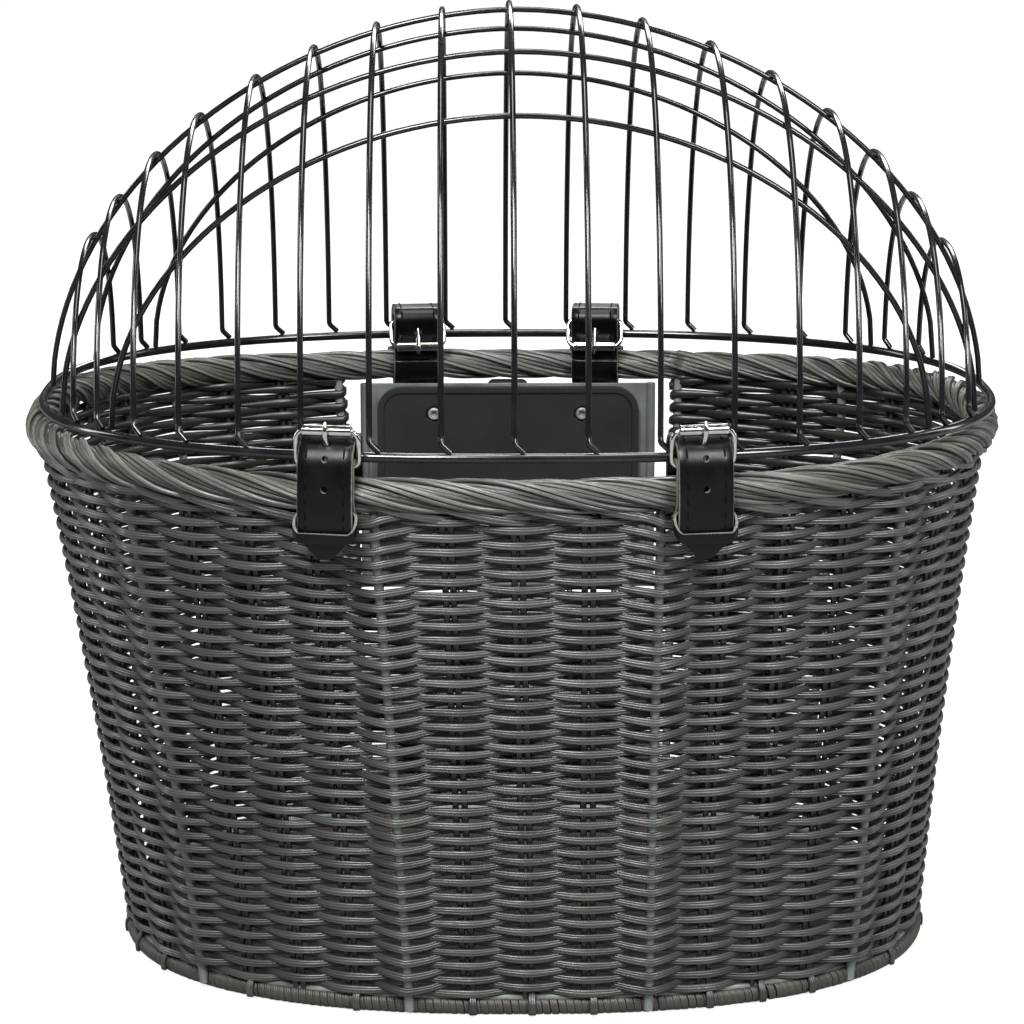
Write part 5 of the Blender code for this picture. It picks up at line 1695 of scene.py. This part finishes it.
def makeBuckle(where, place, own, route):
    heel, roller = Vector((0, *own["heel"])), Vector((0, *own["roller"]))
    right, left = ([heel.lerp(roller, share) + Vector((side * (buckle["half"] + extra), 0, 0))
                    for share, extra in buckle["sides"]] for side in (1, -1))
    loop = left[:1] + right + left[:0:-1]
    smooth = rounded(loop + loop[:2], buckle["corner"], buckle["cornerSteps"])[1:-1]
    piece = placeWire("buckleFrame_" + where, smooth, buckle["wire"], place, True)
    settle(piece, "root", "chrome", "buckle_%s_frame" % where)

    # rolled pipe on the upper bar, its ends rounded
    length, edge = buckle["half"] - buckle["rollerInset"], buckle["rollerEdge"]
    radius, bore = buckle["roller"], buckle["wire"] + buckle["rollerPlay"]
    profile = [(bore, edge - length), (bore, -length), (radius - edge, -length), (radius, edge - length),
               (radius, length - edge), (radius - edge, length), (bore, length), (bore, length - edge),
               (bore, edge - length)]
    lay = place @ Matrix.Translation(roller) @ Matrix.Rotation(math.pi / 2, 4, "Y")
    pipe = turnedPiece("buckleRoller_" + where, profile, lay, chrome)
    settle(pipe, "roller_" + where, "chrome", "buckle_%s_roller" % where)

    # the prong winds round the lower bar and then follows its route
    reach, steps = prongReach(), buckle["windingSteps"]
    winding = arc(own["heel"], reach, -own["winding"], 0, steps)
    prongPath = [(0, *spot) for spot in winding + route]
    taper = [1.0] * (len(prongPath) - len(buckle["prongTaper"])) + list(buckle["prongTaper"])
    wire = placeWire("buckleProng_" + where, prongPath, buckle["prong"], place, radii=taper)
    settle(wire, "prong_" + where, "chrome", "buckle_%s_prong" % where)


def prongTip(own):
    # the last stretch of the prong, over the roller
    over = own["roller"][0] + buckle["roller"] + strap["gap"] + buckle["prong"]
    return [(over + across, own["roller"][1] + up) for across, up in own["prongTip"]]


def makeKeeper(where, place, inner, outer, height, tilt, slack):
    # a thin leather loop round the strap; tilt lifts the side that lies against the basket
    half = strap["half"] + keeper["slack"] + keeper["leather"] / 2
    clear = (strap["leather"] + keeper["slack"] + keeper["leather"]) / 2
    near, far = inner - clear, outer + clear + slack
    corners = np.array(roundedOutline(-half, half, near, far, (far - near) * keeper["cornerShare"]))
    bow = keeper["bow"] * (corners[:, 1] - near) / (far - near) * (1 - (corners[:, 0] / half) ** 2)
    lift = tilt * (far - corners[:, 1] - bow) / (far - near)
    path = np.column_stack([corners[:, 0], corners[:, 1] + bow, height + lift])
    path = path[np.linalg.norm(path - np.roll(path, 1, 0), axis=1) > 1e-6]
    outward = turnVectors(place, path - (0, (near + far) / 2, 0))
    strip = sweepStrand(toWorld(place, path), outward, keeper["half"], keeper["leather"] / 2, leatherProfile,
                        True, 0.5, (0, 0, -1.0))
    settle(leatherPiece("strapKeeper_" + where, strip), "root", "black_leather", "strap_%s_keeper" % where)


def makeFrontStrap(where):
    place = strapPlace(where)
    own = frontStrap
    wrap, heel = strap["ropeWrap"], own["heel"]
    outer = wrap + strap["layer"]
    bandPath = (arc(heel, strap["heelLoop"], own["loopEnd"], 0)
                + arc((0, -ropeDrop), wrap, 0, -180, strap["wrapSteps"])
                + [(-wrap, -own["splitDrop"] - strap["gap"])])
    band = leatherStrip("strapBand_" + where, bandPath, place, 1, False)[0]
    settle(band, "root", "black_leather", "strap_%s_band" % where)

    bend = (-wrap + strap["bend"], own["top"] - strap["bend"])
    under = (outer - own["frontBend"], own["top"] - own["frontBend"])
    tonguePath = ([(-wrap, -own["splitDrop"] + strap["gap"])] + arc(bend, strap["bend"], 180, 90)
                  + arc(under, own["frontBend"], 90, own["lean"]))
    # from there it bows out over the rope and back in
    low, start = -own["tipDrop"], tonguePath[-1]
    bow = (start[1] - low) * math.tan(math.radians(own["lean"]))
    for share in np.linspace(0, 1, strap["bowSteps"])[1:]:
        tonguePath.append((start[0] + bow * share * (1 - share), start[1] + (low - start[1]) * share))
    tongue, section = leatherStrip("strapTongue_" + where, tonguePath, place, 1, True)
    slant = math.radians(own["prongHoleTurn"])
    aim = (math.cos(slant), math.sin(slant))
    crossing = (under[0] + aim[0] * own["frontBend"], under[1] + aim[1] * own["frontBend"])
    punch(tongue, place, crossing, aim, strap["prongHoleRadius"])
    for height in own["holes"]:
        punch(tongue, place, (outer, height), (1, 0), strap["holeRadius"])
    length = section[1][-1]
    stitched = [length - far for far in own["stitched"]]
    finishTongue(where, place, tongue, section, stitched)

    reach = prongReach()
    makeBuckle(where, place, own, [(heel[0] + reach, heel[1] + reach), crossing] + prongTip(own))
    makeKeeper(where, place, outer, outer, -own["keeperDrop"], own["keeperTilt"], own["keeperSlack"])


def makeRearStrap(where):
    place = strapPlace(where)
    own = rearStrap
    wrap, heel, layer = strap["ropeWrap"], own["heel"], strap["layer"]
    bend = (-wrap + strap["bend"], heel[1] + strap["heelLoop"] - strap["bend"])
    bandPath = (arc(heel, strap["heelLoop"], own["loopEnd"], 90) + arc(bend, strap["bend"], 90, 180)
                + arc((0, -ropeDrop), wrap, 180, 360, strap["wrapSteps"])
                + [(wrap, -own["splitDrop"] - strap["gap"])])
    band = leatherStrip("strapBand_" + where, bandPath, place, -1, False)[0]
    settle(band, "root", "black_leather", "strap_%s_band" % where)

    before = (wrap, own["roller"][1] + own["holeRise"])
    after = (heel[0] + strap["heelLoop"] + layer, heel[1])
    tonguePath = ([(wrap, -own["splitDrop"] + strap["gap"]), before]
                  + arc(heel, strap["heelLoop"] + layer, 0, 90)
                  + arc(bend, strap["bend"] + layer, 90, 180) + [(-wrap - layer, -own["tipDrop"])])
    tongue, section = leatherStrip("strapTongue_" + where, tonguePath, place, -1, True)
    reach, tip = prongReach(), prongTip(own)
    start, above = (heel[0] + reach, heel[1] - reach), tip[0]
    share = crossShare(start, above, before, after)
    crossing = (start[0] + (above[0] - start[0]) * share, start[1] + (above[1] - start[1]) * share)
    aim = Vector((above[0] - start[0], above[1] - start[1])).normalized()
    punch(tongue, place, crossing, aim, strap["prongHoleRadius"])
    length = section[1][-1]
    stitched = (own["stitched"][0], length - own["stitched"][1])
    finishTongue(where, place, tongue, section, stitched)

    makeBuckle(where, place, own, [start] + tip)
    makeKeeper(where, place, -wrap - layer, -wrap, -own["keeperDrop"], 0, 0)


def crossShare(a, b, c, d):
    # how far along a-b the line c-d crosses it
    ab, cd, ac = np.subtract(b, a), np.subtract(d, c), np.subtract(c, a)
    return (ac[0] * cd[1] - ac[1] * cd[0]) / (ab[0] * cd[1] - ab[1] * cd[0])


for where in ("front_left", "front_right"):
    makeFrontStrap(where)
for where in ("rear_left", "rear_right"):
    makeRearStrap(where)
print("straps and buckles ready")
